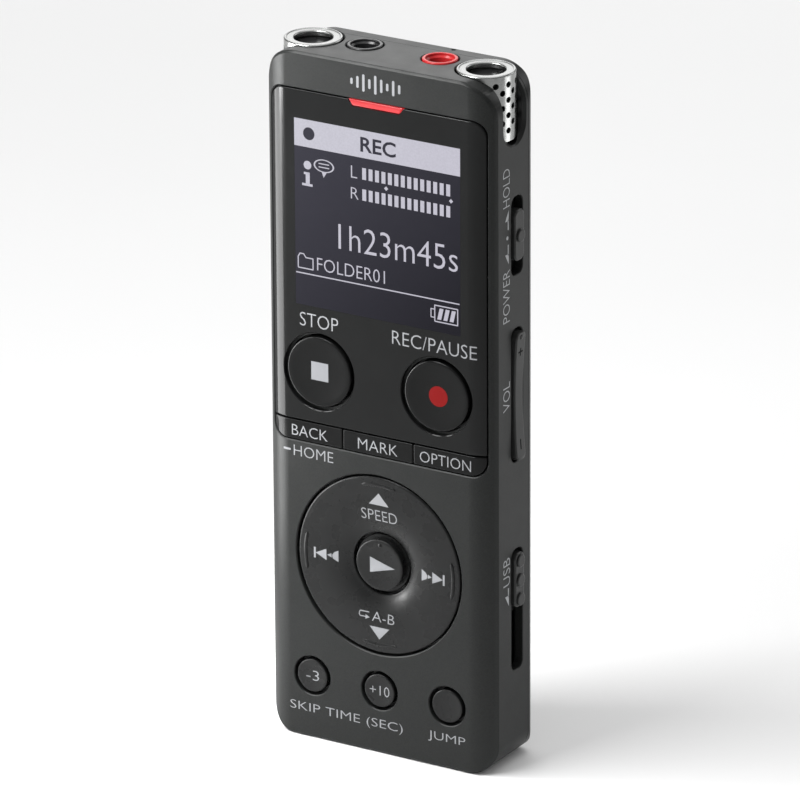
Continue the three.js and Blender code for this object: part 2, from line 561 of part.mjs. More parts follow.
add('usb_slide_knob', usbKnob(), FINISH.key);
add('usb_carriage', usbCarriage(), FINISH.darkPlastic);
add('usb_plug_shell', usbShell(), FINISH.metal);
add('usb_plug_tongue', usbTongue(), FINISH.darkPlastic);
add('usb_flex', usbFlex(), FINISH.flex);
add('usb_guide', usbGuide(), FINISH.darkPlastic);

[['left', -1], ['right', 1]].forEach(([word, side]) => {
  add(`${word}_mic_shell`, micShell(side), FINISH.metal);
  add(`${word}_mic_screen`, micScreen(side), FINISH.darkPlastic);
  add(`${word}_mic_capsule`, micCapsule(side), FINISH.metal);
  add(`${word}_mic_boot`, micBoot(side), FINISH.rubber);
});
add('centre_mic', box(4.4, 6.9, 4, 4.75, 98.2, 100), FINISH.gold);
add('headphone_jack_collar', jackCollar(-1), FINISH.darkPlastic);
add('headphone_jack', jackBody(-1), FINISH.darkPlastic);
add('mic_jack_collar', jackCollar(1), FINISH.red);
add('mic_jack', jackBody(1), FINISH.darkPlastic);
add('speaker', speaker(), FINISH.foil);
add('speaker_gasket', speakerGasket(), FINISH.rubber);

add('main_board', mainBoard(), FINISH.board);
add('dome_sheet', domeSheet(), FINISH.gold);
add('battery', battery(), FINISH.foil);
add('card_socket', cardSocket(), FINISH.foil);
add('card_cover', cardCover(), FINISH.case);

export default recorder;
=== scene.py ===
import json
from math import asin, copysign, cos, hypot, pi, radians, sin, sqrt

import bmesh
import bpy
from mathutils import Matrix, Vector


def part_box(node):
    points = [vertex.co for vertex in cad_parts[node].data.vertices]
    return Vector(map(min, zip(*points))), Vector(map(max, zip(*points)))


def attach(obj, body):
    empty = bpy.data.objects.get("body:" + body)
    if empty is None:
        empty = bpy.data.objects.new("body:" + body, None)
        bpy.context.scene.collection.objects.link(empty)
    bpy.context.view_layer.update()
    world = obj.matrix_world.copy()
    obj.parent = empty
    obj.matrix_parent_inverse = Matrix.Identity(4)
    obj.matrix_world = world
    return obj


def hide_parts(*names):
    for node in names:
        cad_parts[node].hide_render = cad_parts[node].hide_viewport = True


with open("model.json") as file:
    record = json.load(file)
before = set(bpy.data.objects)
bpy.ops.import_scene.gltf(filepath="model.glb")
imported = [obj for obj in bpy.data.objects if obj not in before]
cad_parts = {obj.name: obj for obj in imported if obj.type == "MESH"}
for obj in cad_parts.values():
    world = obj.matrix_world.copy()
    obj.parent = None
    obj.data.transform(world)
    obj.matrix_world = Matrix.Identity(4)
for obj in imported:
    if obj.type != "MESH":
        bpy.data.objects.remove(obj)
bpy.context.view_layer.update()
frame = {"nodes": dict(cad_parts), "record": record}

# A slim hand-held sound recorder. Sizes are in millimetres until a piece becomes an object, in metres.
MM = 0.001


# ---------------------------------------------------------------- sizes, from the frame
def box(node):
    low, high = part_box(node)
    return low / MM, high / MM


def middle(node):
    low, high = box(node)
    return (low + high) / 2


def reach(node):
    low, high = box(node)
    return (high - low) / 2


CASE_LOW, CASE_HIGH = box("front_case")
REAR_LOW, REAR_HIGH = box("rear_cover")
SIDE = CASE_HIGH.x
TOP = CASE_HIGH.z
FRONT = CASE_LOW.y
BACK = REAR_HIGH.y
SEAM = (CASE_HIGH.y + REAR_LOW.y) / 2
HALF_SEAM = 0.02
INK = 0.012
FACE = FRONT + 0.015                 # the painted front; the ink on it ends just inside the frame's box
THROUGH = (-8, -4)                   # heights of a cutter that goes right through the front wall
FLAT, ROLL, ROLL_STEPS = 14.4, 5.4, 14
BACK_ROLL, BACK_STEPS = 2.0, 9
TOP_CORNER, BOTTOM_CORNER, EDGE = 5.2, 4.0, 0.4
WALL, END_WALL = 1.3, 1.5

WINDOW = {"half": 17.15, "bottom": 44.7, "top": 96.4, "corner": 2.2, "pocket": 0.75, "glass": 0.6}
KEYS_TOP, KEYS_POCKET = 47.75, 1.1
SCREEN = {"left": -13.1, "right": 13.4, "bottom": 65.0, "top": 92.2}
ROUND_KEY = {"hole": 5.72, "radius": 5.12, "dish": 0.25}
RING = {"z": middle("control_ring").z, "hole": 13.45, "radius": 13.15, "bore": 4.57, "lip": 4.85, "dish": 6.6,
        "depth": 0.8, "face": -5.94}
PLAY = {"radius": 3.78, "dish": 0.15, "face": -5.9}
SMALL_KEY = {"hole": 2.95, "radius": 2.44, "dish": 0.15}
SLOT_Y = middle("rocker_pin").y - 0.35
SLOT = {"half": 1.55, "corner": 1.2, "knob": 1.25, "knob_corner": 1.0}
SLOTS = {"hold": (72.75, 84.2), "volume": (45.3, 65.0), "usb": (14.2, 32.35)}
KNOB_TOP = 18.76
ROCKER = {"z": middle("volume_rocker").z + 0.2, "half": 9.45, "end": 19.08, "waist": 18.62}
KEY_BASE = {"flange": -4.3, "back": -3.9, "stem": 1.1}
MIC_X, MIC_Y = middle("right_mic_shell").x, middle("right_mic_shell").y
MIC = {"radius": 4.1, "bore": 3.5, "mouth": 2.71, "channel": 4.3, "notch": 2.73, "notch_bottom": 91.87,
       "tube_bottom": 92.4, "liner": 0.08, "top_hole": 100.57, "hole": 0.44, "row": 2.2, "column": 14.6}
MIC_CHAMFER = 0.4
JACK_Y = middle("mic_jack_collar").y
JACK_X = middle("mic_jack_collar").x


# ---------------------------------------------------------------- outlines: functions of an outward growth
def rounded(u0, v0, u1, v1, radii, steps=8):
    """A rectangle; radii are one number, or (lower right, upper right, upper left, lower left)."""
    if not isinstance(radii, tuple):
        radii = (radii,) * 4
    signs = ((1, -1), (1, 1), (-1, 1), (-1, -1))
    corners = list(zip(((u1, v0), (u1, v1), (u0, v1), (u0, v0)), signs, radii))

    def outline(grow=0.0):
        points = []
        for quarter, ((u, v), (side_u, side_v), radius) in enumerate(corners):
            r = max(radius + grow, 0.02)
            for i in range(steps + 1):
                angle = radians(90 * (quarter - 1 + i / steps))
                points.append((u + side_u * (grow - r) + r * cos(angle),
                               v + side_v * (grow - r) + r * sin(angle)))
        return points

    return outline


def circle(u, v, radius, steps=72):
    def outline(grow=0.0):
        angles = [2 * pi * i / steps for i in range(steps)]
        return [(u + (radius + grow) * cos(a), v + (radius + grow) * sin(a)) for a in angles]

    return outline


def polygon(*corners):
    """Straight sides, anticlockwise, with mitred corners as it grows."""
    points = [Vector(c) for c in corners]

    def outline(grow=0.0):
        moved = []
        for i, point in enumerate(points):
            before = (point - points[i - 1]).normalized()
            after = (points[(i + 1) % len(points)] - point).normalized()
            out_a = Vector((before.y, -before.x))
            out_b = Vector((after.y, -after.x))
            moved.append(tuple(point + (out_a + out_b) / (1 + out_a.dot(out_b)) * grow))
        return moved

    return outline


# ---------------------------------------------------------------- levels: (height, growth) along an axis
def quarter(steps):
    """Angles from 0 to a right angle."""
    return [pi / 2 * i / steps for i in range(steps + 1)]


def round_edge(face, inward, radius, steps=4):
    return [(face + inward * radius * (1 - cos(a)), radius * (sin(a) - 1)) for a in quarter(steps)]


def cut_edge(face, inward, width):
    """A flat chamfer with softened corners, from the face back to the side."""
    steps = ((0.0, -1.0), (0.08, -0.8), (0.8, -0.08), (1.0, 0.0))
    return [(face + inward * width * depth, width * grow) for depth, grow in steps]


def mouth(face, inward, depth, flare=0.12):
    """A cutter's levels: straight in, with a small chamfer where it meets the face."""
    return [(face - inward * 2, flare + 0.2), (face - inward * 0.2, flare + 0.2),
            (face + inward * flare, 0.0), (face + inward * depth, 0.0)]


# ---------------------------------------------------------------- closed bodies
def at(axis, u, v, h):
    """(u, v) lie across the axis: y and z for X, x and z for Y, x and y for Z."""
    return {"X": (h, u, v), "Y": (u, h, v), "Z": (u, v, h)}[axis]


def loft(rings):
    bm = bmesh.new()
    rows = [[bm.verts.new(point) for point in ring] for ring in rings]
    for low, high in zip(rows, rows[1:]):
        for i in range(len(low)):
            j = (i + 1) % len(low)
            bm.faces.new((low[i], low[j], high[j], high[i]))
    bm.faces.new(rows[0][::-1])
    bm.faces.new(rows[-1])
    bmesh.ops.recalc_face_normals(bm, faces=bm.faces[:])
    return bm


def stack(axis, outline, levels):
    return loft([[at(axis, u, v, height) for u, v in outline(grow)] for height, grow in levels])


def slab(axis, outline, h0, h1):
    return stack(axis, outline, [(h0, 0), (h1, 0)])


def block(x0, x1, y0, y1, z0, z1):
    return slab("Y", rounded(x0, z0, x1, z1, 0.05, 2), y0, y1)


def turned(axis, u, v, profile, steps=96):
    """Spins a closed outline of (radius, height) about an axis through (u, v)."""
    bm = bmesh.new()
    rows = []
    for i in range(steps):
        angle = 2 * pi * i / steps
        rows.append([bm.verts.new(at(axis, u + r * cos(angle), v + r * sin(angle), h))
                     for r, h in profile])
    for i, row in enumerate(rows):
        other = rows[(i + 1) % steps]
        for a in range(len(profile)):
            b = (a + 1) % len(profile)
            if profile[a][0] > 0 or profile[b][0] > 0:
                bm.faces.new((row[a], row[b], other[b], other[a]))
    bmesh.ops.remove_doubles(bm, verts=bm.verts[:], dist=1e-5)
    bmesh.ops.recalc_face_normals(bm, faces=bm.faces[:])
    return bm


def arc(cr, ch, radius, start, end, steps=5):
    """Points of a profile round (cr, ch), from one angle to another in degrees."""
    angles = [radians(start + (end - start) * i / steps) for i in range(steps + 1)]
    return [(cr + radius * cos(a), ch + radius * sin(a)) for a in angles]


def put(name, data):
    """A new object in the scene."""
    obj = bpy.data.objects.new(name, data)
    bpy.context.scene.collection.objects.link(obj)
    return obj


def temporary(bm):
    mesh = bpy.data.meshes.new("tool")
    bm.to_mesh(mesh)
    bm.free()
    return put("tool", mesh)


def evaluated(obj):
    """The object's final mesh as a bmesh; the object itself is removed."""
    depsgraph = bpy.context.evaluated_depsgraph_get()
    mesh = bpy.data.meshes.new_from_object(obj.evaluated_get(depsgraph))
    bm = bmesh.new()
    bm.from_mesh(mesh)
    bpy.data.meshes.remove(mesh)
    bpy.data.objects.remove(obj)
    return bm


def carve(body, tools, operation="DIFFERENCE"):
    """Cuts each tool out of a body, joins it on or keeps what they share, one after the other."""
    target = temporary(body)
    helpers = [temporary(tool) for tool in tools]
    for helper in helpers:
        modifier = target.modifiers.new("cut", "BOOLEAN")
        modifier.operation = operation
        modifier.solver = "MANIFOLD"
        modifier.object = helper
    result = evaluated(target)
    for helper in helpers:
        bpy.data.objects.remove(helper)
    return result


def fuse(*bodies):
    return carve(bodies[0], bodies[1:], "UNION")


def together(*bodies):
    """Several separate bodies as one bmesh."""
    whole = bmesh.new()
    for body in bodies:
        mesh = bpy.data.meshes.new("part")
        body.to_mesh(mesh)
        body.free()
        whole.from_mesh(mesh)
        bpy.data.meshes.remove(mesh)
    return whole


def slice_at(bm, places, normal=(1, 0, 0)):
    """Adds edges where planes across the normal cut the faces."""
    for place in places:
        everything = bm.verts[:] + bm.edges[:] + bm.faces[:]
        point = Vector(normal) * place
        bmesh.ops.bisect_plane(bm, geom=everything, dist=1e-6, plane_co=point, plane_no=normal)


def drop(x):
    """How far the rolled front lies behind its flat middle."""
    over = min(max(abs(x) - FLAT, 0.0), ROLL - 0.01)
    return ROLL - sqrt(ROLL * ROLL - over * over)


def roll_front(bm, behind=100.0):
    """Bends what was made for a flat front, and lies in front of `behind`, round the rolled edges."""
    widest = asin((SIDE - FLAT) / ROLL)
    turns = [FLAT + ROLL * sin(widest * i / ROLL_STEPS) for i in range(ROLL_STEPS)]
    slice_at(bm, [side * x for x in turns for side in (-1, 1)])
    for vert in bm.verts:
        if vert.co.y < behind:
            vert.co.y += drop(vert.co.x)
    return bm


# ---------------------------------------------------------------- node materials
def feed(node, key, value):
    """Gives a node's input a constant, or links it to another node's output."""
    socket = node.inputs[key]
    if isinstance(value, bpy.types.NodeSocket):
        socket.id_data.links.new(value, socket)
    else:
        socket.default_value = value


def add(kind, inputs, **settings):
    """A new node beside the ones that feed it, at least one of its inputs being another node's output."""
    tree = next(value.id_data for value in inputs.values() if isinstance(value, bpy.types.NodeSocket))
    made = tree.nodes.new("ShaderNode" + kind)
    for key, value in settings.items():
        setattr(made, key, value)
    for key, value in inputs.items():
        feed(made, key, value)
    return made


def fresh(name, **sockets):
    """A new material with its constant values set on the shader's own sockets."""
    material = bpy.data.materials.new(name)
    material.use_nodes = True
    tree = material.node_tree
    shader = tree.nodes["Principled BSDF"]
    for key, value in sockets.items():
        shader.inputs[key.replace("_", " ")].default_value = value
    place = tree.nodes.new("ShaderNodeTexCoord").outputs["Object"]
    return material, shader, place


def noise(place, size, detail=2.0, dimensions="3D"):
    """Noise whose lumps are about `size` millimetres across, from 0 to 1."""
    inputs = {"Scale": 1 / (size * MM), "Detail": detail, "W" if dimensions == "1D" else "Vector": place}
    return add("TexNoise", inputs, noise_dimensions=dimensions).outputs["Fac"]


def spread(value, low, high, start=0.3, end=0.7):
    """Stretches what lies from start to end over low to high, and clips the rest."""
    inputs = {"Value": value, "From Min": start, "From Max": end, "To Min": low, "To Max": high}
    return add("MapRange", inputs).outputs["Result"]


def blend_colours(value, first, second):
    return add("Mix", {0: value, 6: (*first, 1), 7: (*second, 1)}, data_type="RGBA").outputs[2]


def bumped(shader, height, depth, under=None):
    """Adds a bump, over an earlier one if given; depth is in millimetres."""
    inputs = {"Strength": 1.0, "Distance": depth * MM, "Height": height}
    if under is not None:
        inputs["Normal"] = under
    normal = add("Bump", inputs).outputs["Normal"]
    feed(shader, "Normal", normal)
    return normal


def shade(colour, factor):
    return tuple(min(c * factor, 1.0) for c in colour)


def moulded(name, colour, roughness, grain=0.12, depth=0.004, mottle=0.1, uneven=0.04, **sockets):
    """Moulded or painted skin: slow colour variation, fine grain, uneven gloss."""
    material, shader, place = fresh(name, **sockets)
    slow = spread(noise(place, 9.0, 4.0), 0.0, 1.0)
    fine = noise(place, grain, 3.0)
    tint = blend_colours(slow, shade(colour, 1 - mottle), shade(colour, 1 + mottle))
    feed(shader, "Base Color", tint)
    rough = spread(noise(place, 2.5, 5.0), roughness - uneven, roughness + uneven)
    feed(shader, "Roughness", rough)
    bumped(shader, fine, depth)
    return material


def flake_paint(name, colour, roughness, sparkle, **sockets):
    """Satin paint with metal flakes: each small cell is a little lighter or darker and tilts its own way."""
    material, shader, place = fresh(name, **sockets)
    flake = 0.12
    cells = add("TexVoronoi", {"Vector": place, "Scale": 1 / (flake * MM)})
    level = add("SeparateColor", {"Color": cells.outputs["Color"]})
    flakes = spread(level.outputs[0], 0.0, 1.0, 0.1, 0.95)
    slow = spread(noise(place, 14.0, 3.0), 0.0, 1.0)
    both = add("Math", {0: slow, 1: 0.35, 2: flakes}, operation="MULTIPLY_ADD")
    tint = blend_colours(both.outputs[0], shade(colour, 1 - sparkle), shade(colour, 1 + sparkle))
    feed(shader, "Base Color", tint)
    rough = spread(noise(place, 3.0, 4.0), roughness - 0.03, roughness + 0.03)
    feed(shader, "Roughness", rough)
    skin = bumped(shader, noise(place, 0.35, 2.0), 0.002)
    bumped(shader, level.outputs[1], 0.0008, skin)
    return material


def lathe_metal(name, colour, roughness, centre, **sockets):
    """Turned metal: fine rings round a Z axis through centre, mirrored to the other side of the recorder."""
    material, shader, place = fresh(name, **sockets)
    parts = add("SeparateXYZ", {0: place})
    mirrored = add("Math", {0: parts.outputs["X"]}, operation="ABSOLUTE")
    flat = add("CombineXYZ", {"X": mirrored.outputs[0], "Y": parts.outputs["Y"]})
    axis = (centre[0] * MM, centre[1] * MM, 0)
    offset = add("VectorMath", {0: flat.outputs[0], 1: axis}, operation="SUBTRACT")
    radius = add("VectorMath", {0: offset.outputs["Vector"]}, operation="LENGTH")
    along = add("Math", {0: radius.outputs["Value"], 1: parts.outputs["Z"]}, operation="ADD")
    lines = noise(along.outputs[0], 0.09, 3.0, "1D")
    tint = blend_colours(spread(lines, 0, 1), shade(colour, 0.9), shade(colour, 1.06))
    feed(shader, "Base Color", tint)
    feed(shader, "Roughness", spread(lines, roughness - 0.05, roughness + 0.07))
    bumped(shader, lines, 0.003)
    return material


def across(place, start, end):
    """0 at one point and 1 at another, both in millimetres, straight in between."""
    start = Vector(start) * MM
    run = Vector(end) * MM - start
    direction = run / run.length_squared
    moved = add("VectorMath", {0: place, 1: tuple(start)}, operation="SUBTRACT")
    inputs = {0: moved.outputs["Vector"], 1: tuple(direction)}
    return add("VectorMath", inputs, operation="DOT_PRODUCT").outputs["Value"]


def lit(name, base, near, far, start, end, grain=0.0, **sockets):
    """A surface that shines: its light goes from one colour to another between two points."""
    material, shader, place = fresh(name, **sockets)
    ramp = spread(across(place, start, end), 0.0, 1.0, 0.0, 1.0)
    light = blend_colours(ramp, near, far)
    if grain:
        speckle = spread(noise(place, 0.25, 2.0), 1 - grain, 1 + grain)
        light = add("VectorMath", {0: light, "Scale": speckle}, operation="SCALE").outputs["Vector"]
    feed(shader, "Emission Color", light)
    skin = spread(noise(place, 3.0, 3.0), 0.0, 1.0)
    feed(shader, "Base Color", blend_colours(skin, shade(base, 0.9), base))
    return material


def printed(name, colour, roughness=0.5, mottle=0.04, specular=0.2):
    """Printing ink, with a very fine grain."""
    return moulded(name, colour, roughness, 0.08, 0.001, mottle, Specular_IOR_Level=specular)


PAINT = flake_paint("gunmetal_paint", (0.0165, 0.0175, 0.017), 0.36, 0.15, Metallic=0.2,
                    Specular_IOR_Level=0.2)
GLOSS = moulded("gloss_black", (0.006, 0.0062, 0.0062), 0.16, 0.3, 0.0008, 0.15, 0.03,
                Specular_IOR_Level=0.14)
SATIN = moulded("satin_black", (0.0085, 0.0088, 0.0088), 0.28, 0.14, 0.003, 0.12, Specular_IOR_Level=0.22)
SATIN_GREY = moulded("satin_grey", (0.022, 0.0228, 0.0224), 0.34, 0.14, 0.003, 0.12, Specular_IOR_Level=0.26)
WINDOW_BLACK = moulded("smoked_acrylic", (0.008, 0.0083, 0.0083), 0.09, 0.4, 0.0004, 0.1, 0.02,
                       Specular_IOR_Level=0.165)
INK_LIGHT = printed("grey_ink", (0.27, 0.275, 0.288))
# The stop key's square: the grey legend ink made darker, painted shade for a spot that the lamps light more
# strongly.
INK_GREY_PAINTED_DARKER = printed("grey_ink_painted_darker", (0.215, 0.22, 0.232))
# The side's legends: the grey legend ink made paler, painted light for the side that the lamps light less.
INK_GREY_PAINTED_LIGHTER = printed("grey_ink_painted_lighter", (0.36, 0.37, 0.38))
INK_DARK = printed("dark_ink", (0.004, 0.004, 0.004), 0.6, 0.1, 0.05)
INK_RED = printed("red_ink", (0.175, 0.001, 0.001), 0.45, 0.05, 0.1)
METAL = lathe_metal("turned_aluminium", (0.34, 0.345, 0.34), 0.25, (MIC_X, MIC_Y), Metallic=1.0)
STEEL = moulded("plated_steel", (0.58, 0.59, 0.60), 0.27, 0.2, 0.002, 0.06, Metallic=1.0)
BLUED = moulded("blued_steel", (0.035, 0.036, 0.04), 0.35, 0.2, 0.002, 0.06, Metallic=1.0)
BLACK = moulded("black_plastic", (0.009, 0.009, 0.0095), 0.3, 0.15, 0.003, 0.15)
RED = moulded("red_plastic", (0.42, 0.018, 0.02), 0.24, 0.25, 0.002, 0.08, Specular_IOR_Level=0.3)
RUBBER = moulded("silicone", (0.025, 0.025, 0.027), 0.7, 0.2, 0.006, 0.12)
BOARD = moulded("solder_mask", (0.015, 0.09, 0.045), 0.35, 0.6, 0.008, 0.2)
GOLD = moulded("gold_plating", (0.78, 0.55, 0.24), 0.28, 0.1, 0.002, 0.06, Metallic=1.0)
FOIL = moulded("grey_wrap", (0.33, 0.35, 0.36), 0.4, 0.8, 0.01, 0.08)
FLEX = moulded("amber_film", (0.32, 0.13, 0.03), 0.35, 0.5, 0.003, 0.1)
LED = lit("lit_red_guide", (0.2, 0.01, 0.012), (0.88, 0.06, 0.068), (0.45, 0.008, 0.012),
          (0, FRONT, 95.85), (0, FRONT, 96.45), Emission_Strength=0.7, Roughness=0.2)
# The faint glow on the dark screen, lighter towards the upper left and darker towards the lower right, is a
# painted sheen.
SCREEN_DARK = lit("screen_black_painted_sheen", (0.004, 0.004, 0.005), (0.060, 0.058, 0.082), (0.006, 0.005, 0.012),
                  (-12, FRONT, 90), (12, FRONT, 66), Emission_Strength=0.6, Roughness=0.12,
                  Specular_IOR_Level=0.12)
# The lit pixels really glow; their slight brightening towards the upper left is the same painted sheen.
SCREEN_LIGHT = lit("screen_pixels", (0.02, 0.02, 0.02), (0.62, 0.61, 0.70), (0.60, 0.58, 0.68),
                   (-12, FRONT, 90), (12, FRONT, 66), 0.05, Emission_Strength=0.82, Roughness=0.4,
                   Specular_IOR_Level=0.12)
SLOT_MATERIAL = {
    "case_paint": PAINT, "window": WINDOW_BLACK, "key_gloss": GLOSS, "key_satin": SATIN, "red_lens": LED,
    "red_plastic": RED, "mic_metal": METAL, "steel": STEEL, "black_plastic": BLACK, "rubber": RUBBER,
    "board": BOARD, "contact": GOLD, "screen": SCREEN_DARK, "foil": FOIL, "flex": FLEX,
}


# ---------------------------------------------------------------- objects
def piece(name, bm, material, body, replaces=(), sharp=35):
    """Makes the finished object: metres, smooth shading up to `sharp` degrees, riding on its body."""
    bmesh.ops.remove_doubles(bm, verts=bm.verts[:], dist=1e-5)
    bmesh.ops.dissolve_degenerate(bm, edges=bm.edges[:], dist=1e-5)
    bmesh.ops.recalc_face_normals(bm, faces=bm.faces[:])
    bm.transform(Matrix.Scale(MM, 4))
    mesh = bpy.data.meshes.new(name)
    bm.to_mesh(mesh)
    bm.free()
    mesh.polygons.foreach_set("use_smooth", [True] * len(mesh.polygons))
    mesh.set_sharp_from_angle(angle=radians(sharp))
    mesh.materials.append(material)
    obj = put(name, mesh)
    normals = obj.modifiers.new("normals", "WEIGHTED_NORMAL")
    normals.keep_sharp = True
    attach(obj, body)
    if replaces:
        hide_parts(*replaces)
    return obj


def give_cad_nodes_materials():
    for part in frame["record"]["subparts"]:
        data = frame["nodes"][part["node"]].data
        data.materials.clear()
        data.materials.append(SLOT_MATERIAL[part["material_slot"]])


# ---------------------------------------------------------------- casing
def side_slot(name):
    low, high = SLOTS[name]
    outline = rounded(SLOT_Y - SLOT["half"], low, SLOT_Y + SLOT["half"], high, SLOT["corner"])
    return stack("X", outline, mouth(SIDE, -1, 1.9, 0.1))


def mic_arch():
    half = MIC["notch"]
    return rounded(MIC_Y - half, MIC["notch_bottom"], MIC_Y + half, TOP + 3, (half, 0.1, 0.1, half), 14)


def corner_drop(z):
    """How far the rounded upper corner lies inside the straight side."""
    over = min(max(z - (TOP - TOP_CORNER), 0.0), TOP_CORNER * 0.97)
    return TOP_CORNER - sqrt(TOP_CORNER ** 2 - over ** 2)


def follow_corner(bm, side):
    """Bends a cutter's outer levels inward so that its chamfer follows the rounded upper corner."""
    steps = 10
    slice_at(bm, [TOP - TOP_CORNER * (1 - i / steps) for i in range(steps + 1)], (0, 0, 1))
    for vert in bm.verts:
        if abs(vert.co.x) > SIDE - 1:
            vert.co.x -= side * corner_drop(vert.co.z)
    return bm


def mic_cutters():
    cutters = []
    for side in (-1, 1):
        tube = circle(side * MIC_X, MIC_Y, MIC["channel"])
        cutters.append(stack("Z", tube, mouth(TOP, -1, TOP - 91.7, 0.14)))
        arch = stack("X", mic_arch(), mouth(side * SIDE, -side, SIDE - MIC_X, MIC_CHAMFER))
        cutters.append(follow_corner(arch, side))
    return cutters


def build_mic_shade_liner(word, side):
    """The black wall of the notch in which a microphone stands: partly the notch's own black inner wall,
    partly painted shade where the tube shades that wall.
    """
    outer, inner = side * (SIDE - MIC_CHAMFER - 0.03), side * MIC_X
    shell = stack("X", mic_arch(), [(outer, -0.01), (inner, -0.01)])
    core = stack("X", mic_arch(), [(outer + side, -MIC["liner"]), (inner - side, -MIC["liner"])])
    tube = slab("Z", circle(side * MIC_X, MIC_Y, MIC["channel"] - 0.02), 90, TOP + 5)
    inside = stack("Y", case_outline(), [(-9, -MIC_CHAMFER - 0.03), (9, -MIC_CHAMFER - 0.03)])
    liner = carve(carve(shell, [core, tube]), [inside], "INTERSECT")
    piece(f"mic_shade_liner_{word}", liner, BLACK, "housing")


def room():
    outline = rounded(WALL - SIDE, END_WALL, SIDE - WALL, TOP - END_WALL, (2.6, 3.8, 3.8, 2.6))
    return stack("Y", outline, [(-4.6, -1.4), (-3, 0), (BACK - 1.7, 0), (BACK - 1.2, -0.5)])


def window_outline(grow=0.0, bottom=WINDOW["bottom"]):
    lower = WINDOW["corner"] if bottom == WINDOW["bottom"] else 0.1
    radii = (lower, WINDOW["corner"], WINDOW["corner"], lower)
    half = WINDOW["half"] + grow
    return rounded(-half, bottom - grow, half, WINDOW["top"] + grow, radii)


def front_cutters():
    soft = rounded(-WINDOW["half"] - 0.1, WINDOW["bottom"] - 0.1, WINDOW["half"] + 0.1, KEYS_TOP,
                   (WINDOW["corner"], 0.1, 0.1, WINDOW["corner"]))
    pockets = [
        stack("Y", window_outline(0.1), mouth(FACE, 1, WINDOW["pocket"], 0.14)),
        stack("Y", soft, mouth(FACE, 1, KEYS_POCKET, 0.14)),
    ]
    openings = [
        slab("Y", rounded(-15, 62.5, 15, 94.2, 0.6, 3), *THROUGH),
        slab("Y", rounded(-4.6, 95.35, 4.6, 96.5, 0.1, 2), *THROUGH),
        stack("Y", circle(0, RING["z"], RING["hole"], 144), mouth(FACE, 1, 2.1, 0.14)),
    ]
    for key in ("stop_button", "record_button"):
        openings.append(slab("Y", circle(middle(key).x, middle(key).z, 5.4), *THROUGH))
    for key in ("skip_back_key", "skip_ahead_key", "jump_key"):
        outline = circle(middle(key).x, middle(key).z, SMALL_KEY["hole"])
        openings.append(stack("Y", outline, mouth(FACE, 1, 2.1, 0.12)))
    for side in (-1, 0, 1):
        openings.append(block(side * 10 - 2.8, side * 10 + 2.8, *THROUGH, 45.2, 47.3))
    return [roll_front(p) for p in pockets] + openings


def end_cutters():
    plug_low, plug_high = box("usb_plug_shell")
    plug = rounded(plug_low.x - 0.25, plug_low.y - 0.2, plug_high.x + 0.25, plug_high.y + 0.2, 0.6)
    cutters = [stack("Z", plug, mouth(0, 1, 2, 0.15))]
    for side in (-1, 1):
        cutters.append(stack("Z", circle(side * JACK_X, JACK_Y, 2.65), mouth(TOP, -1, 2, 0.14)))
    return cutters


def card_cutter():
    low, high = box("card_cover")
    corners = (0.2, 0.6, 0.6, 0.2)
    outline = rounded(low.y - 0.2, low.z - 0.42, high.y + 0.2, high.z + 0.2, corners)
    return stack("X", outline, mouth(-SIDE, 1, 1.9, 0.12))


def case_outline():
    corners = (BOTTOM_CORNER, TOP_CORNER, TOP_CORNER, BOTTOM_CORNER)
    return rounded(-SIDE, 0, SIDE, TOP, corners, 18)


def build_front_case():
    end = SEAM - HALF_SEAM
    shell = stack("Y", case_outline(), cut_edge(FACE, 1, EDGE) + [(end - 0.04, 0), (end, -0.04)])
    roll_front(shell, behind=-5)
    slots = [side_slot(name) for name in SLOTS]
    tools = [room(), *front_cutters(), *slots, *mic_cutters(), *end_cutters(), card_cutter()]
    piece("case_front", carve(shell, tools), PAINT, "housing", ["front_case"])


def back_share(x):
    """How much of the rear cover's depth is left where its long edges roll."""
    over = min(max(abs(x) - (SIDE - BACK_ROLL), 0.0), BACK_ROLL)
    return max(0.08, 1 - (1 - sqrt(1 - (over / BACK_ROLL) ** 2)))


def speaker_cutters():
    centre = middle("speaker")
    pitch, radius = 2.1, 0.55
    cutters = []
    for row in range(-2, 3):
        count = 5 - abs(row)
        for i in range(count):
            x = centre.x + (i - (count - 1) / 2) * pitch
            z = centre.z + row * pitch * sin(pi / 3)
            cutters.append(stack("Y", circle(x, z, radius, 28), mouth(BACK, -1, 3, 0.1)))
    return cutters


def build_rear_cover():
    start = SEAM + HALF_SEAM
    levels = [(start, -0.04), (start + 0.04, 0)] + round_edge(BACK, -1, EDGE)[::-1]
    shell = stack("Y", case_outline(), levels)
    turns = [SIDE - BACK_ROLL + BACK_ROLL * sin(a) for a in quarter(BACK_STEPS)[:-1]]
    slice_at(shell, [side * x for x in turns for side in (-1, 1)])
    for vert in shell.verts:
        vert.co.y = start + (vert.co.y - start) * back_share(vert.co.x)
    tools = [room(), *mic_cutters(), *speaker_cutters()]
    for index in (1, 2, 3):
        screw = middle(f"case_screw_{index}")
        tools.append(stack("Y", circle(screw.x, screw.z, 1.75, 40), mouth(BACK, -1, 0.75, 0.1)))
    pin_x, pin_y, pin_radius = 5.66, 5.35, 0.3
    tools.append(stack("Z", circle(pin_x, pin_y, pin_radius, 20), mouth(TOP, -1, 2.5, 0.06)))
    piece("case_back", carve(shell, tools), PAINT, "housing", ["rear_cover"])


def build_lip():
    """The rear cover's inner lip, which closes the seam between the two shells."""
    ring = stack("Y", case_outline(), [(SEAM - 0.3, -0.25), (SEAM + 0.3, -0.25)])
    inner = stack("Y", case_outline(), [(SEAM - 1, -1.0), (SEAM + 1, -1.0)])
    piece("case_lip", carve(ring, [inner, *mic_cutters()]), BLACK, "housing")


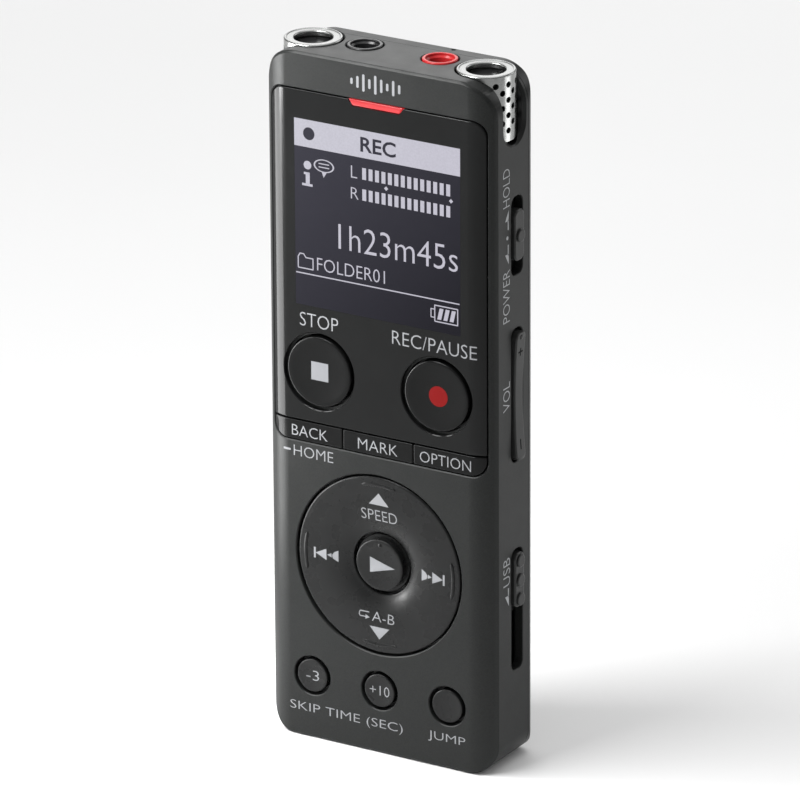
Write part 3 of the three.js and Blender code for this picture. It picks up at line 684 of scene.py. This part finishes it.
def build_screws():
    for index in (1, 2, 3):
        node = f"case_screw_{index}"
        low, high = box(node)
        centre = middle(node)
        head, shank, rim = reach(node).x, 0.7, 0.18
        under = high.y - 0.55
        profile = [(0, low.y), (shank, low.y + 0.5), (shank, under), (head, under), (head, high.y - rim)]
        profile += arc(head - rim, high.y - rim, rim, 0, 90, 4) + [(0, high.y)]
        body = turned("Y", centre.x, centre.z, profile, 40)
        cross = []
        for wide, tall in ((0.85, 0.15), (0.15, 0.85)):
            outline = rounded(centre.x - wide, centre.z - tall, centre.x + wide, centre.z + tall, 0.04, 2)
            cross.append(stack("Y", outline, [(high.y - 0.35, -0.06), (high.y + 0.2, 0.02)]))
        piece(f"screw_{index}", carve(body, cross), STEEL, "housing", [node])


def build_card_door():
    low, high = box("card_cover")
    outline = rounded(low.y, low.z, high.y, high.z, 0.45)
    outer = -SIDE + 0.05
    door = stack("X", outline, round_edge(outer, 1, 0.18, 3) + [(outer + 0.95, 0)])
    centre = middle("card_cover")
    nail = stack("X", rounded(centre.y - 1.3, low.z - 1, centre.y + 1.3, low.z + 0.9, 0.8),
                 [(outer - 0.5, 0.5), (outer + 0.45, -0.2)])
    hinge_low, hinge_high = 64.6, 65.8
    hinge = block(-SIDE + 0.9, high.x, centre.y - 1.2, centre.y + 1.2, hinge_low, hinge_high)
    piece("card_door", fuse(carve(door, [nail]), hinge), PAINT, "card_door", ["card_cover"])


def build_card_socket():
    """The memory card's socket behind the door: a steel sleeve round a black core with the card's slit."""
    low, high = box("card_socket")
    skin = 0.18
    sleeve = block(low.x + 0.25, high.x, low.y, high.y, low.z, high.z)
    bore = block(low.x - 1, high.x + 1, low.y + skin, high.y - skin, low.z + skin, high.z - skin)
    piece("card_socket_sleeve", carve(sleeve, [bore]), STEEL, "housing", ["card_socket"])
    core = block(low.x, high.x - 0.2, low.y + skin, high.y - skin, low.z + skin, high.z - skin)
    slit = block(low.x - 1, low.x + 9, low.y + 0.45, high.y - 0.3, low.z + 0.9, high.z - 0.9)
    piece("card_socket_core", carve(core, [slit]), BLACK, "housing")
    door_low, door_high = box("card_cover")
    wall = block(low.x - 0.1, low.x + 0.25, high.y + 0.03, door_high.y + 0.5,
                 door_low.z - 0.9, door_high.z + 0.7)
    piece("card_bay_wall", wall, BLACK, "housing")


# ---------------------------------------------------------------- window, screen and light
def light_outline():
    return polygon((-3.7, 95.55), (3.7, 95.55), (4.3, WINDOW["top"]), (-4.3, WINDOW["top"]))


def key_holes(levels):
    keys = [middle("stop_button"), middle("record_button")]
    return [stack("Y", circle(k.x, k.z, ROUND_KEY["hole"], 96), levels) for k in keys]


def screen_outline():
    return rounded(SCREEN["left"], SCREEN["bottom"], SCREEN["right"], SCREEN["top"], 0.05, 2)


def build_window():
    """The smoked window, with an opening that the screen's own glass fills flush."""
    back = FACE + WINDOW["glass"]
    upper = window_outline(-0.06, KEYS_TOP + 0.06)
    panel = stack("Y", upper, round_edge(FACE, 1, 0.14, 3) + [(back, 0)])
    light_gap = 0.14
    notch = stack("Y", light_outline(), [(height, light_gap) for height in THROUGH])
    holes = [*key_holes(mouth(FACE, 1, 1.5, 0.1)), notch, slab("Y", screen_outline(), *THROUGH)]
    window = roll_front(carve(panel, holes))
    piece("window_panel_black", window, WINDOW_BLACK, "housing", ["window_panel"])


def build_light():
    guide = stack("Y", light_outline(), round_edge(FACE, 1, 0.12, 3) + [(-3.5, 0)])
    piece("light_guide", guide, LED, "housing", ["led_light_bar"])


def build_screen():
    low, high = box("display_module")
    pane = stack("Y", screen_outline(), [(FACE, -0.01), (-4.5, -0.01)])
    module = slab("Y", rounded(low.x, low.z, high.x, high.z, 0.5, 3), low.y, high.y)
    piece("screen_panel", fuse(pane, module), SCREEN_DARK, "housing", ["display_module"])


# ---------------------------------------------------------------- keys
def key_face(face, dish, radius, distance):
    """Height of a dished key's face at a distance from its centre."""
    return face + dish * max(0.0, 1 - (distance / radius) ** 2)


def cap_profile(face, radius, dish, edge, back):
    """The top of a round key, from its centre to the back end of its side."""
    flat = radius - edge
    top = [(flat * i / 8, key_face(face, dish, flat, flat * i / 8)) for i in range(8)]
    rim = [(flat + edge * sin(t), face + edge * (1 - cos(t))) for t in quarter(4)]
    return top + rim + [(radius, back)]


def round_key(name, node, body, radius, dish, material, slot, edge=0.2):
    centre = middle(node)
    flange = reach(node).x
    end = box(node)[1].y
    front, back, stem = KEY_BASE["flange"], KEY_BASE["back"], KEY_BASE["stem"]
    profile = cap_profile(FACE, radius, dish, edge, front)
    profile += [(flange, front), (flange, back), (stem, back), (stem, end), (0, end)]
    piece(name, turned("Y", centre.x, centre.z, profile), material, body, [node])


def build_round_keys():
    big = (ROUND_KEY["radius"], ROUND_KEY["dish"], GLOSS, "key_gloss", 0.22)
    round_key("key_stop", "stop_button", "stop", *big)
    round_key("key_record", "record_button", "record", *big)
    small = (SMALL_KEY["radius"], SMALL_KEY["dish"], SATIN, "key_satin", 0.16)
    for name in ("skip_back", "skip_ahead", "jump"):
        round_key(f"key_{name}", f"{name}_key", name, *small)


def build_soft_keys():
    gap, inner, outer = 0.08, 5.62, WINDOW["half"] - 0.08
    edges = {"back": (-outer, -inner - 0.16), "mark": (-inner, inner), "option": (inner + 0.16, outer)}
    for name, (x0, x1) in edges.items():
        radii = (2.1 if name == "option" else 0.2, 0.15, 0.15, 2.1 if name == "back" else 0.2)
        outline = rounded(x0, WINDOW["bottom"] + gap, x1, KEYS_TOP - 0.12, radii)
        cap = roll_front(stack("Y", outline, round_edge(FACE, 1, 0.16, 3) + [(FACE + 0.75, 0)]))
        stem_x = 10 * round(middle(f"{name}_key").x / 10)
        stem = block(stem_x - 2.5, stem_x + 2.5, -5.6, KEY_BASE["back"], 45.45, 47.05)
        flange = block(stem_x - 3.4, stem_x + 3.4, KEY_BASE["flange"], KEY_BASE["back"], 44.8, 47.6)
        nub = slab("Y", circle(stem_x, 46.2, 1, 24), -4, -3.3)
        piece(f"key_{name}", fuse(cap, stem, flange, nub), GLOSS, name, [f"{name}_key"])


def ring_face(distance):
    """Height of the control ring's dished face at a distance from its centre."""
    share = max(0.0, min((distance - RING["lip"]) / RING["dish"], 1.0))
    return RING["face"] + RING["depth"] * (1 - share) ** 3


def ring_rib(angle):
    """One raised rib on the ring: a bar that follows an arc of 26 degrees."""
    radius, half_width, proud, half_angle, steps = 12.0, 0.27, 0.155, 13, 18
    rings = []
    for i in range(steps + 1):
        share = 2 * i / steps - 1
        turn = radians(angle + half_angle * share)
        width = half_width * max(0.25, sqrt(1 - abs(share) ** 12))
        ring = []
        for k in range(12):
            t = 2 * pi * k / 12
            r = radius + width * cos(t)
            y = ring_face(radius) - proud * sin(t)
            ring.append((r * cos(turn), y, RING["z"] + r * sin(turn)))
        rings.append(ring)
    return loft(rings)


def build_ring():
    radius, bore, lip = RING["radius"], RING["bore"], RING["lip"]
    edge = lip - bore
    well = [(bore, -4.4)] + arc(lip, ring_face(lip) + edge, edge, 180, 255, 5)
    samples = [lip + (radius - 0.45 - lip) * i / 16 for i in range(17)]
    face = [(r, ring_face(r)) for r in samples]
    rim = arc(radius - 0.3, ring_face(radius) + 0.3, 0.3, 260, 360, 5)
    flange = reach("control_ring").x
    back = [(radius, -4.2), (flange, -4.2), (flange, -3.8), (11.6, -3.8), (11.6, -4.4)]
    body = turned("Y", 0, RING["z"], well + face + rim + back, 180)
    ribs = [ring_rib(angle) for angle in (0, 90, 180, 270)]
    piece("ring_key", fuse(body, *ribs), SATIN, "ring", ["control_ring"])


def dome(axis, u, v, base, radius, height, sink=0.3):
    """A low round bump that stands on `base`; a negative height points down the axis."""
    profile = [(radius * cos(t), base + height * sin(t)) for t in quarter(6)[:-1]]
    foot = base - copysign(sink, height)
    return turned(axis, u, v, [(0, foot), (radius, foot), *profile, (0, base + height)], 32)


def build_play_key():
    centre = middle("play_button")
    skirt, flange, stem = 4.3, reach("play_button").x, KEY_BASE["stem"]
    profile = cap_profile(PLAY["face"], PLAY["radius"], PLAY["dish"], 0.2, -4.75)
    profile += [(skirt - 0.1, -4.75), (skirt, -4.65), (skirt, -4.1), (flange, -4.1), (flange, -3.7)]
    profile += [(stem, -3.7), (stem, -3.3), (0, -3.3)]
    body = turned("Y", centre.x, centre.z, profile)
    dot = dome("Y", 0.1, centre.z + 3.0, PLAY["face"] + 0.03, 0.28, -0.13)
    piece("key_play", fuse(body, dot), SATIN, "play", ["play_button"])


# ---------------------------------------------------------------- side controls
def knob_outline(low, high, half=SLOT["knob"]):
    return rounded(SLOT_Y - half, low, SLOT_Y + half, high, SLOT["knob_corner"])


def slide_knob(low, high, root, bumps, height, soft):
    """A knob from its root inside the casing to its top, with round bumps at the given heights."""
    top = KNOB_TOP
    bar = stack("X", knob_outline(low, high), [(root, 0), (top - 0.2, 0), (top - 0.05, -0.12), (top, -0.26)])
    levels = [(18.5, 0), (top + height - 0.12, 0), (top + height - 0.04, -soft), (top + height, -0.2)]
    return [bar, *(stack("X", circle(SLOT_Y, z, 0.95, 32), levels) for z in bumps)]


def slot_plate(x0, x1, low, high):
    """A plate behind a slot, a little wider than the slot."""
    return block(x0, x1, SLOT_Y - 2.1, SLOT_Y + 2.1, low, high)


def build_hold_slider():
    knob = slide_knob(74.9, 82.3, 16.7, (78.55,), 0.34, 0.07)
    body = fuse(*knob, slot_plate(15.9, 16.8, 73, 83))
    piece("hold_knob", body, SATIN_GREY, "hold", ["hold_slider"])


def rocker_top(share):
    """How far out the hollow rocker reaches; share goes from -1 at its lower end to 1 at its upper end."""
    return ROCKER["waist"] + (ROCKER["end"] - ROCKER["waist"]) * share ** 2


def rocker_ring(z, share):
    """One cross-section of the rocker."""
    edge = 0.3
    rounding = (1 - abs(share)) * reach("volume_rocker").z
    corner = SLOT["knob_corner"]
    inset = corner - sqrt(max(0.0, corner ** 2 - max(0.0, corner - rounding) ** 2))
    half = SLOT["knob"] - 0.12 * (1 - share ** 2) - min(inset, corner * 0.85)
    top = rocker_top(share) - (0.2 if rounding < 0.01 else 0)
    section = [(16.4, -half)]
    section += [(top - edge + edge * sin(t), -half + edge * (1 - cos(t)) * 0.8)
                for t in quarter(4)]
    section += [(x, -y) for x, y in section[::-1]]
    return [(x, SLOT_Y + y, z) for x, y in section]


def build_volume_rocker():
    centre, half = ROCKER["z"], ROCKER["half"]
    ends = [0.001, 0.1, 0.25, 0.45, 0.7, 1.0]
    places = [-half + e for e in ends] + [(-half + 1) + (2 * half - 2) * i / 28 for i in range(1, 28)]
    places += [half - e for e in ends[::-1]]
    rings = [rocker_ring(centre + p, p / half) for p in places]
    low, high = box("rocker_pin")
    pin_x = middle("rocker_pin").x
    pin_z = middle("rocker_pin").z
    hub = slab("Y", circle(pin_x, pin_z, 1.1, 32), SLOT_Y - 1.1, SLOT_Y + 1.1)
    web = block(pin_x, 17, SLOT_Y - 1.0, SLOT_Y + 1.0, pin_z - 1, pin_z + 1)
    dot_z, switches = 63.75, (61.5, 47.6)
    dot = dome("X", SLOT_Y, dot_z, 18.96, 0.42, 0.2)
    nubs = [block(15.8, 17, SLOT_Y - 0.7, SLOT_Y + 0.7, z - 0.7, z + 0.7) for z in switches]
    body = fuse(loft(rings), hub, web, dot, *nubs)
    bore = slab("Y", circle(pin_x, pin_z, 0.55, 24), low.y - 1, high.y + 1)
    piece("rocker", carve(body, [bore]), SATIN_GREY, "volume", ["volume_rocker"])
    pin = slab("Y", circle(pin_x, pin_z, pin_x - low.x, 24), low.y, high.y)
    piece("rocker_axle", pin, BLUED, "housing", ["rocker_pin"])


def build_usb_slide():
    knob = slide_knob(23.7, 31.8, 16.5, (30.6, 27.7, 24.85), 0.32, 0.08)
    body = fuse(*knob, slot_plate(16.45, 16.8, 22.2, 31.9))
    piece("usb_knob", body, SATIN_GREY, "usb", ["usb_slide_knob"])
    piece("usb_skirt", slot_plate(16.0, 16.4, 13.0, 32.4), BLACK, "usb")


def build_usb_plug():
    low, high = box("usb_plug_shell")
    skin = 0.3
    tube = rounded(low.x, low.y, high.x, high.y, 0.55)
    body = stack("Z", tube, round_edge(low.z, 1, 0.1, 2) + [(high.z, 0)])
    bore = rounded(low.x + skin, low.y + skin, high.x - skin, high.y - skin, 0.3)
    centre = (low.x + high.x) / 2
    windows = [block(centre + s * 2.5 - 1.1, centre + s * 2.5 + 1.1, low.y - 1, 0, low.z + 5, low.z + 7.2)
               for s in (-1, 1)]
    shell = carve(body, [stack("Z", bore, [(low.z - 1, 0.1), (low.z + 0.15, 0), (high.z + 1, 0)]), *windows])
    piece("usb_shell", shell, STEEL, "usb", ["usb_plug_shell"])
    low, high = box("usb_plug_tongue")
    tongue = slab("Z", rounded(low.x, low.y, high.x, high.y, 0.1, 3), low.z, high.z)
    piece("usb_tongue", tongue, BLACK, "usb", ["usb_plug_tongue"])
    pads = [block(centre + x - 0.5, centre + x + 0.5, low.y - 0.04, low.y + 0.02, low.z + 0.6, low.z + 9)
            for x in (-3.5, -1.0, 1.0, 3.5)]
    piece("usb_contacts", together(*pads), GOLD, "usb")


# ---------------------------------------------------------------- sound
def build_mic(word, side):
    top = box(f"{word}_mic_shell")[1].z
    outer, bore, lip = MIC["radius"], MIC["bore"], MIC["mouth"]
    rim, sunk = 0.22, top - 0.09
    profile = [(bore, MIC["tube_bottom"]), (outer, MIC["tube_bottom"])]
    profile += arc(outer - rim, top - rim, rim, 0, 90, 5)
    profile += [(outer - rim - 0.1, top), (outer - rim - 0.22, sunk)]
    profile += arc(lip + rim, sunk - rim, rim, 90, 180, 4)
    profile += [(lip, top - 0.7), (bore, top - 0.7)]
    tube = turned("Z", side * MIC_X, MIC_Y, profile, 120)
    holes = []
    for column in range(7):
        angle = radians(-41.2 + MIC["column"] * column)
        odd = column % 2
        for row in range(4 - odd):
            z = MIC["top_hole"] - MIC["row"] * (row + odd / 2)
            hole = slab("X", circle(0, 0, MIC["hole"], 24), 2.9, 4.6)
            turn = Matrix.Translation((side * MIC_X, MIC_Y, z)) @ Matrix.Scale(side, 4, (1, 0, 0))
            hole.transform(turn @ Matrix.Rotation(angle, 4, "Z"))
            bmesh.ops.recalc_face_normals(hole, faces=hole.faces[:])
            holes.append(hole)
    piece(f"mic_{word}", carve(tube, holes), METAL, "housing", [f"{word}_mic_shell"])


def build_jack(name, node, side, material):
    low, high = box(node)
    outer, inner = 2.5, 1.8
    rim, throat = 0.18, 2.02
    profile = [(inner, low.z), (outer, low.z)]
    profile += arc(outer - rim, high.z - rim, rim, 0, 90, 5)
    profile += arc(throat + 0.1, high.z - 0.1, 0.1, 90, 180, 3)
    profile += [(throat, high.z - 0.35), (inner, high.z - 0.6)]
    piece(name, turned("Z", side * JACK_X, JACK_Y, profile), material, "housing", [node])
    sleeve = [(1.55, 96.5), (1.74, 96.5), (1.74, low.z - 0.25), (1.55, low.z - 0.25)]
    piece(f"{name}_contact", turned("Z", side * JACK_X, JACK_Y, sleeve, 48), STEEL, "housing")


# ---------------------------------------------------------------- ink
def lettering(words, weight):
    """Letters as a closed body in their own units: (across, up, thickness from 0 to 1)."""
    curve = bpy.data.curves.new("letters", "FONT")
    curve.body = words
    curve.extrude = 0.5
    curve.offset = weight
    curve.resolution_u = 3
    bm = evaluated(put("letters", curve))
    bmesh.ops.remove_doubles(bm, verts=bm.verts[:], dist=1e-4)
    bmesh.ops.translate(bm, verts=bm.verts[:], vec=(0, 0, 0.5))
    return bm


def fitted(bm, u0, v0, u1, v1):
    """Scales a flat body so that it fills a box."""
    us = [v.co.x for v in bm.verts]
    vs = [v.co.y for v in bm.verts]
    for vert in bm.verts:
        vert.co.x = u0 + (vert.co.x - min(us)) / (max(us) - min(us)) * (u1 - u0)
        vert.co.y = v0 + (vert.co.y - min(vs)) / (max(vs) - min(vs)) * (v1 - v0)
    return bm


def words(text, u0, v0, u1, v1, weight=-0.012):
    return fitted(lettering(text, weight), u0, v0, u1, v1)


def figure(outline):
    """A flat figure from an outline, in the same form as words."""
    return loft([[(u, v, 0.0) for u, v in outline(0)], [(u, v, 1.0) for u, v in outline(0)]])


def shape(*corners):
    return figure(polygon(*corners))


def bar(u0, v0, u1, v1):
    return shape((u0, v0), (u1, v0), (u1, v1), (u0, v1))


def disc(u, v, radius):
    return figure(circle(u, v, radius, 40))


def stroke(points, width):
    """A line of constant width through points, as overlapping bars with a round dot at each bend."""
    parts = []
    for (u0, v0), (u1, v1) in zip(points, points[1:]):
        side = Vector((v0 - v1, u1 - u0)).normalized() * width / 2
        corners = [(u0 - side.x, v0 - side.y), (u1 - side.x, v1 - side.y),
                   (u1 + side.x, v1 + side.y), (u0 + side.x, v0 + side.y)]
        parts.append(shape(*corners))
    parts += [figure(circle(u, v, width / 2, 12)) for u, v in points[1:-1]]
    return together(*parts)


def ring_shape(u, v, radius, width):
    outer = figure(circle(u, v, radius + width / 2, 48))
    inner = loft([[(a, b, h) for a, b in circle(u, v, radius - width / 2, 48)(0)] for h in (-1.0, 2.0)])
    return carve(outer, [inner])


def print_on(name, marks, material, body, surface=None, side=False, rolled=True, ink=INK):
    """Lays flat marks on a surface; surface gives the height behind the front for each (x, z)."""
    bm = together(*marks)
    for vert in bm.verts:
        u, v, h = vert.co
        if side:
            vert.co = (SIDE + ink * h + (surface(u, v) if surface else 0), -v, u)
        else:
            vert.co = (u, (surface(u, v) if surface else FACE) - ink * h, v)
    if not side and rolled:
        roll_front(bm)
    return piece(name, bm, material, body)


def front_legends():
    marks = [
        words("STOP", -12.47, 61.9, -6.26, 63.9),
        words("REC/PAUSE", 2.44, 61.9, 15.9, 63.9),
        words("HOME", -13.7, 42.3, -7.25, 43.9),
        bar(-15.4, 42.95, -14.2, 43.25),
        words("SKIP TIME (SEC)", -14.7, 3.5, 3.8, 5.2),
        words("JUMP", 7.97, 3.7, 13.98, 5.3),
    ]
    heights = (0.9, 1.7, 2.5, 1.4, 2.7, 1.9, 1.1, 2.2, 1.3)
    for i, height in enumerate(heights):
        u = (i - (len(heights) - 1) / 2) * 0.95
        marks.append(figure(rounded(u - 0.19, 99.05 - height / 2, u + 0.19, 99.05 + height / 2, 0.18, 4)))
    print_on("ink_front", marks, INK_LIGHT, "housing")


def side_legends():
    marks = [
        words("HOLD", 83.35, 1.1, 88.9, 2.9),
        words("POWER", 66.6, 1.1, 74.2, 2.9),
        words("VOL", 53.6, 1.1, 57.8, 2.9),
        words("USB", 27.65, 1.1, 31.75, 2.9),
        disc(78.85, 1.75, 0.28),
        bar(80.0, 1.4, 81.5, 1.65),
        shape((81.3, 1.4), (82.8, 1.4), (81.3, 2.35)),
        bar(76.3, 1.4, 77.85, 1.65),
        shape((76.5, 1.4), (76.5, 2.35), (75.0, 1.4)),
        bar(25.9, 1.4, 27.2, 1.65),
        shape((26.1, 1.4), (26.1, 2.4), (24.5, 1.4)),
    ]
    # The side's legends use the grey legend ink with painted light.
    print_on("ink_side", marks, INK_GREY_PAINTED_LIGHTER, "housing", side=True)


def rocker_legends():
    def surface(u, v):
        return rocker_top((u - ROCKER["z"]) / ROCKER["half"]) - SIDE

    v = -SLOT_Y
    plus = [bar(60.95, v - 0.12, 62.15, v + 0.12), bar(61.43, v - 0.6, 61.67, v + 0.6)]
    minus = [bar(47.2, v - 0.13, 48.7, v + 0.13)]
    print_on("ink_rocker", plus + minus, INK_DARK, "volume", surface, side=True)


def key_legends():
    gap = 0.004

    def dished(node, radius, dish, face=FACE):
        centre = middle(node)
        return lambda u, v: key_face(face, dish, radius, hypot(u - centre.x, v - centre.z)) - gap

    flat = ROUND_KEY["radius"] - 0.22
    stop = dished("stop_button", flat, ROUND_KEY["dish"])
    square = bar(-10.83, 54.1, -8.07, 56.8)
    # The square's ink is the grey legend ink with painted shade.
    print_on("ink_stop", [square], INK_GREY_PAINTED_DARKER, "stop", stop, rolled=False)
    record = dished("record_button", flat, ROUND_KEY["dish"])
    print_on("ink_record", [disc(9.68, 55.42, 1.5)], INK_RED, "record", record, rolled=False)
    for name, text, u0, v0, u1, v1 in (("back", "BACK", -13.97, 45.35, -8.17, 46.95),
                                       ("mark", "MARK", -3.2, 45.35, 3.2, 46.95),
                                       ("option", "OPTION", 6.8, 45.35, 15.0, 46.95)):
        print_on(f"ink_{name}", [words(text, u0, v0, u1, v1)], INK_LIGHT, name)
    small = SMALL_KEY["radius"] - 0.16
    for name, text, half in (("skip_back", "-3", 1.05), ("skip_ahead", "+10", 1.6)):
        centre = middle(f"{name}_key")
        surface = dished(f"{name}_key", small, SMALL_KEY["dish"])
        letters = words(text, centre.x - half, centre.z - 0.75, centre.x + half, centre.z + 0.75)
        print_on(f"ink_{name}", [letters], INK_LIGHT, name, surface, rolled=False)
    play = dished("play_button", PLAY["radius"] - 0.2, PLAY["dish"], PLAY["face"])
    triangle = shape((-1.55, 27.1), (2.5, 28.25), (-1.55, 29.4))
    print_on("ink_play", [triangle], INK_LIGHT, "play", play, rolled=False)


def ring_legends():
    def surface(u, v):
        return ring_face(hypot(u, v - RING["z"])) - 0.006

    arrow_tail = [(-1.75, 21.0), (-3.15, 21.0), (-3.3, 20.8), (-3.3, 20.45), (-3.15, 20.25), (-2.2, 20.25)]
    marks = [
        shape((-1.6, 37.4), (1.6, 37.4), (0, 39.2)),
        words("SPEED", -2.9, 34.95, 2.9, 36.6),
        shape((-1.6, 19.05), (0, 17.25), (1.6, 19.05)),
        words("A-B", -1.25, 19.85, 2.4, 21.25),
        stroke(arrow_tail, 0.15),
        shape((-2.3, 19.92), (-1.6, 20.25), (-2.3, 20.58)),
    ]
    for side in (-1, 1):
        marks.append(bar(side * 10.49 - 0.15, 27.5, side * 10.49 + 0.15, 29.1))
        for tip in (10.34, 8.5):
            corners = [(side * tip, 28.3), (side * (tip - 1.72), 27.45), (side * (tip - 1.72), 29.15)]
            marks.append(shape(*(corners if side < 0 else corners[::-1])))
    print_on("ink_ring", marks, INK_LIGHT, "ring", surface, rolled=False)


# ---------------------------------------------------------------- what the screen shows
def screen_picture():
    """Lit marks on the dark screen; (u, v) run from the screen's lower left corner."""
    left, low = SCREEN["left"], SCREEN["bottom"]
    wide, tall = SCREEN["right"] - left, SCREEN["top"] - low

    def show(name, marks, material, proud):
        bm = together(*marks)
        bmesh.ops.translate(bm, verts=bm.verts[:], vec=(left, low, 0))

        def surface(u, v):
            return FACE - proud

        print_on(name, [bm], material, "housing", surface, rolled=False, ink=0.004)

    bubble = fitted(ring_shape(0, 0, 1.0, 0.16), 3.1, 19.95, 6.4, 21.85)
    marks = [bar(0, 23.2, wide, tall), bubble, shape((4.4, 20.0), (4.7, 19.2), (5.2, 20.0)),
             bar(3.9, 21.1, 5.6, 21.25), bar(3.9, 20.6, 5.6, 20.75),
             disc(2.1, 20.6, 0.62), bar(1.5, 19.2, 2.45, 19.55), bar(1.8, 17.8, 2.45, 19.5),
             bar(1.2, 17.55, 2.9, 17.9)]
    marks += [words("L", 9.1, 20.05, 10.1, 21.8), words("R", 9.06, 17.0, 10.3, 18.65)]
    for i in range(14):
        start = 10.9 + 1.03 * i
        marks += [bar(start, 20.05, start + 0.63, 21.75), bar(start, 17.0, start + 0.63, 18.65)]
    marks += [shape((u - 0.33, 19.4), (u, 19.07), (u + 0.33, 19.4), (u, 19.73)) for u in (14.73, 25.05)]
    marks.append(words("1h23m45s", 7.0, 9.25, 26.1, 12.95, -0.008))
    marks.append(stroke([(0.45, 5.4), (2.85, 5.4), (2.85, 7.0), (1.7, 7.0), (1.35, 7.5),
                         (0.75, 7.5), (0.45, 7.0), (0.45, 5.4)], 0.17))
    marks.append(words("FOLDER01", 3.5, 5.45, 14.45, 7.35, -0.01))
    marks.append(bar(0.1, 4.57, wide - 0.15, 4.75))
    marks.append(stroke([(22.4, 1.5), (26.05, 1.5), (26.05, 3.85), (22.4, 3.85), (22.4, 1.5)], 0.17))
    marks.append(stroke([(22.35, 2.05), (21.8, 2.05), (21.8, 3.25), (22.35, 3.25)], 0.15))
    for i in range(3):
        start = 22.8 + 0.98 * i
        marks.append(shape((start, 1.85), (start + 0.62, 1.85), (start + 1.0, 3.5), (start + 0.38, 3.5)))
    show("screen_lit_marks", marks, SCREEN_LIGHT, 0.0)
    dark = [words("REC", 10.64, 24.05, 16.3, 26.25, 0.02), disc(2.36, 25.2, 0.92)]
    show("screen_dark_marks", dark, SCREEN_DARK, 0.005)


# ---------------------------------------------------------------- studio
def softbox(name, place, target, width, height, brightness):
    """A soft rectangular light, in metres; a larger one of the same brightness gives more light."""
    data = bpy.data.lights.new(name, "AREA")
    data.shape = "RECTANGLE"
    data.size = width
    data.size_y = height
    data.energy = pi * brightness * width * height
    obj = put(name, data)
    obj.location = place
    obj.rotation_euler = (Vector(target) - obj.location).to_track_quat("-Z", "Y").to_euler()


def build_floor():
    material, shader, place = fresh("pale_floor", Roughness=0.85)
    slow = spread(noise(place, 180.0, 3.0), 0.0, 1.0)
    tint = blend_colours(slow, (0.86, 0.86, 0.86), (0.89, 0.89, 0.89))
    feed(shader, "Base Color", tint)
    mesh = bpy.data.meshes.new("floor")
    far = 6.0
    mesh.from_pydata([(-far, -far, 0), (far, -far, 0), (far, far, 0), (-far, far, 0)], [], [(0, 1, 2, 3)])
    mesh.materials.append(material)
    floor = put("floor", mesh)


def build_lights():
    world = bpy.data.worlds.new("studio")
    world.use_nodes = True
    background = world.node_tree.nodes["Background"]
    background.inputs["Color"].default_value = (1, 1, 1, 1)
    background.inputs["Strength"].default_value = 0.31
    bpy.context.scene.world = world
    softbox("overhead", (0, 0.12, 0.9), (0, 0.08, 0), 0.9, 0.9, 1.3)
    softbox("back_box", (-0.34, 0.54, 0.32), (0, 0, 0.09), 0.5, 0.34, 1.8)
    softbox("left_strip", (-0.060, -0.029, 0.058), (0, 0, 0.058), 0.026, 0.1, 11.0)
    softbox("edge_box", (-0.217, -0.16, 0.46), (0, 0, 0.08), 0.14, 0.14, 12.0)
    softbox("edge_strip", (-0.034, -0.030, 0.148), (-0.034, -0.006, 0.1), 0.04, 0.012, 14.0)
    softbox("brow_box", (-0.03, -0.09, 0.17), (0, 0, 0.1), 0.05, 0.03, 26.0)
    softbox("right_box", (0.28, 0.48, 0.31), (0, 0, 0.08), 0.3, 0.25, 1.9)
    softbox("tube_strip", (0.185, 0.106, 0.03), (0, 0, 0.05), 0.08, 0.06, 3.6)
    softbox("ring_glint", (-0.23, -0.195, 0.022), (0, 0, 0.03), 0.07, 0.05, 34.0)


def build_camera():
    azimuth, elevation, roll, distance = 31.13, 20.87, -0.32, 1.1505
    target = Vector((-0.00002, 0, 0.05113))
    a, e, r = (radians(d) for d in (azimuth, elevation, roll))
    back = Vector((sin(a) * cos(e), -cos(a) * cos(e), sin(e)))
    right = (-back).cross(Vector((0, 0, 1))).normalized()
    up = right.cross(-back)
    across_view = right * cos(r) + up * sin(r)
    up_view = up * cos(r) - right * sin(r)
    data = bpy.data.cameras.new("camera")
    data.sensor_width = 36
    data.lens = 372.6
    data.clip_end = 20
    camera = put("camera", data)
    columns = Matrix((across_view, up_view, back)).transposed()
    camera.matrix_world = Matrix.Translation(target + back * distance) @ columns.to_4x4()
    bpy.context.scene.camera = camera


# ---------------------------------------------------------------- the recorder
bpy.context.scene.view_settings.view_transform = "Standard"
build_camera()
build_lights()
build_floor()
give_cad_nodes_materials()
build_front_case()
build_rear_cover()
build_lip()
build_screws()
build_card_door()
build_card_socket()
build_window()
build_light()
build_screen()
screen_picture()
build_round_keys()
build_soft_keys()
build_ring()
build_play_key()
build_hold_slider()
build_volume_rocker()
build_usb_slide()
build_usb_plug()
for word, side in (("left", -1), ("right", 1)):
    build_mic(word, side)
    build_mic_shade_liner(word, side)
build_jack("jack_out", "headphone_jack_collar", -1, BLACK)
build_jack("jack_in", "mic_jack_collar", 1, RED)
front_legends()
side_legends()
rocker_legends()
key_legends()
ring_legends()
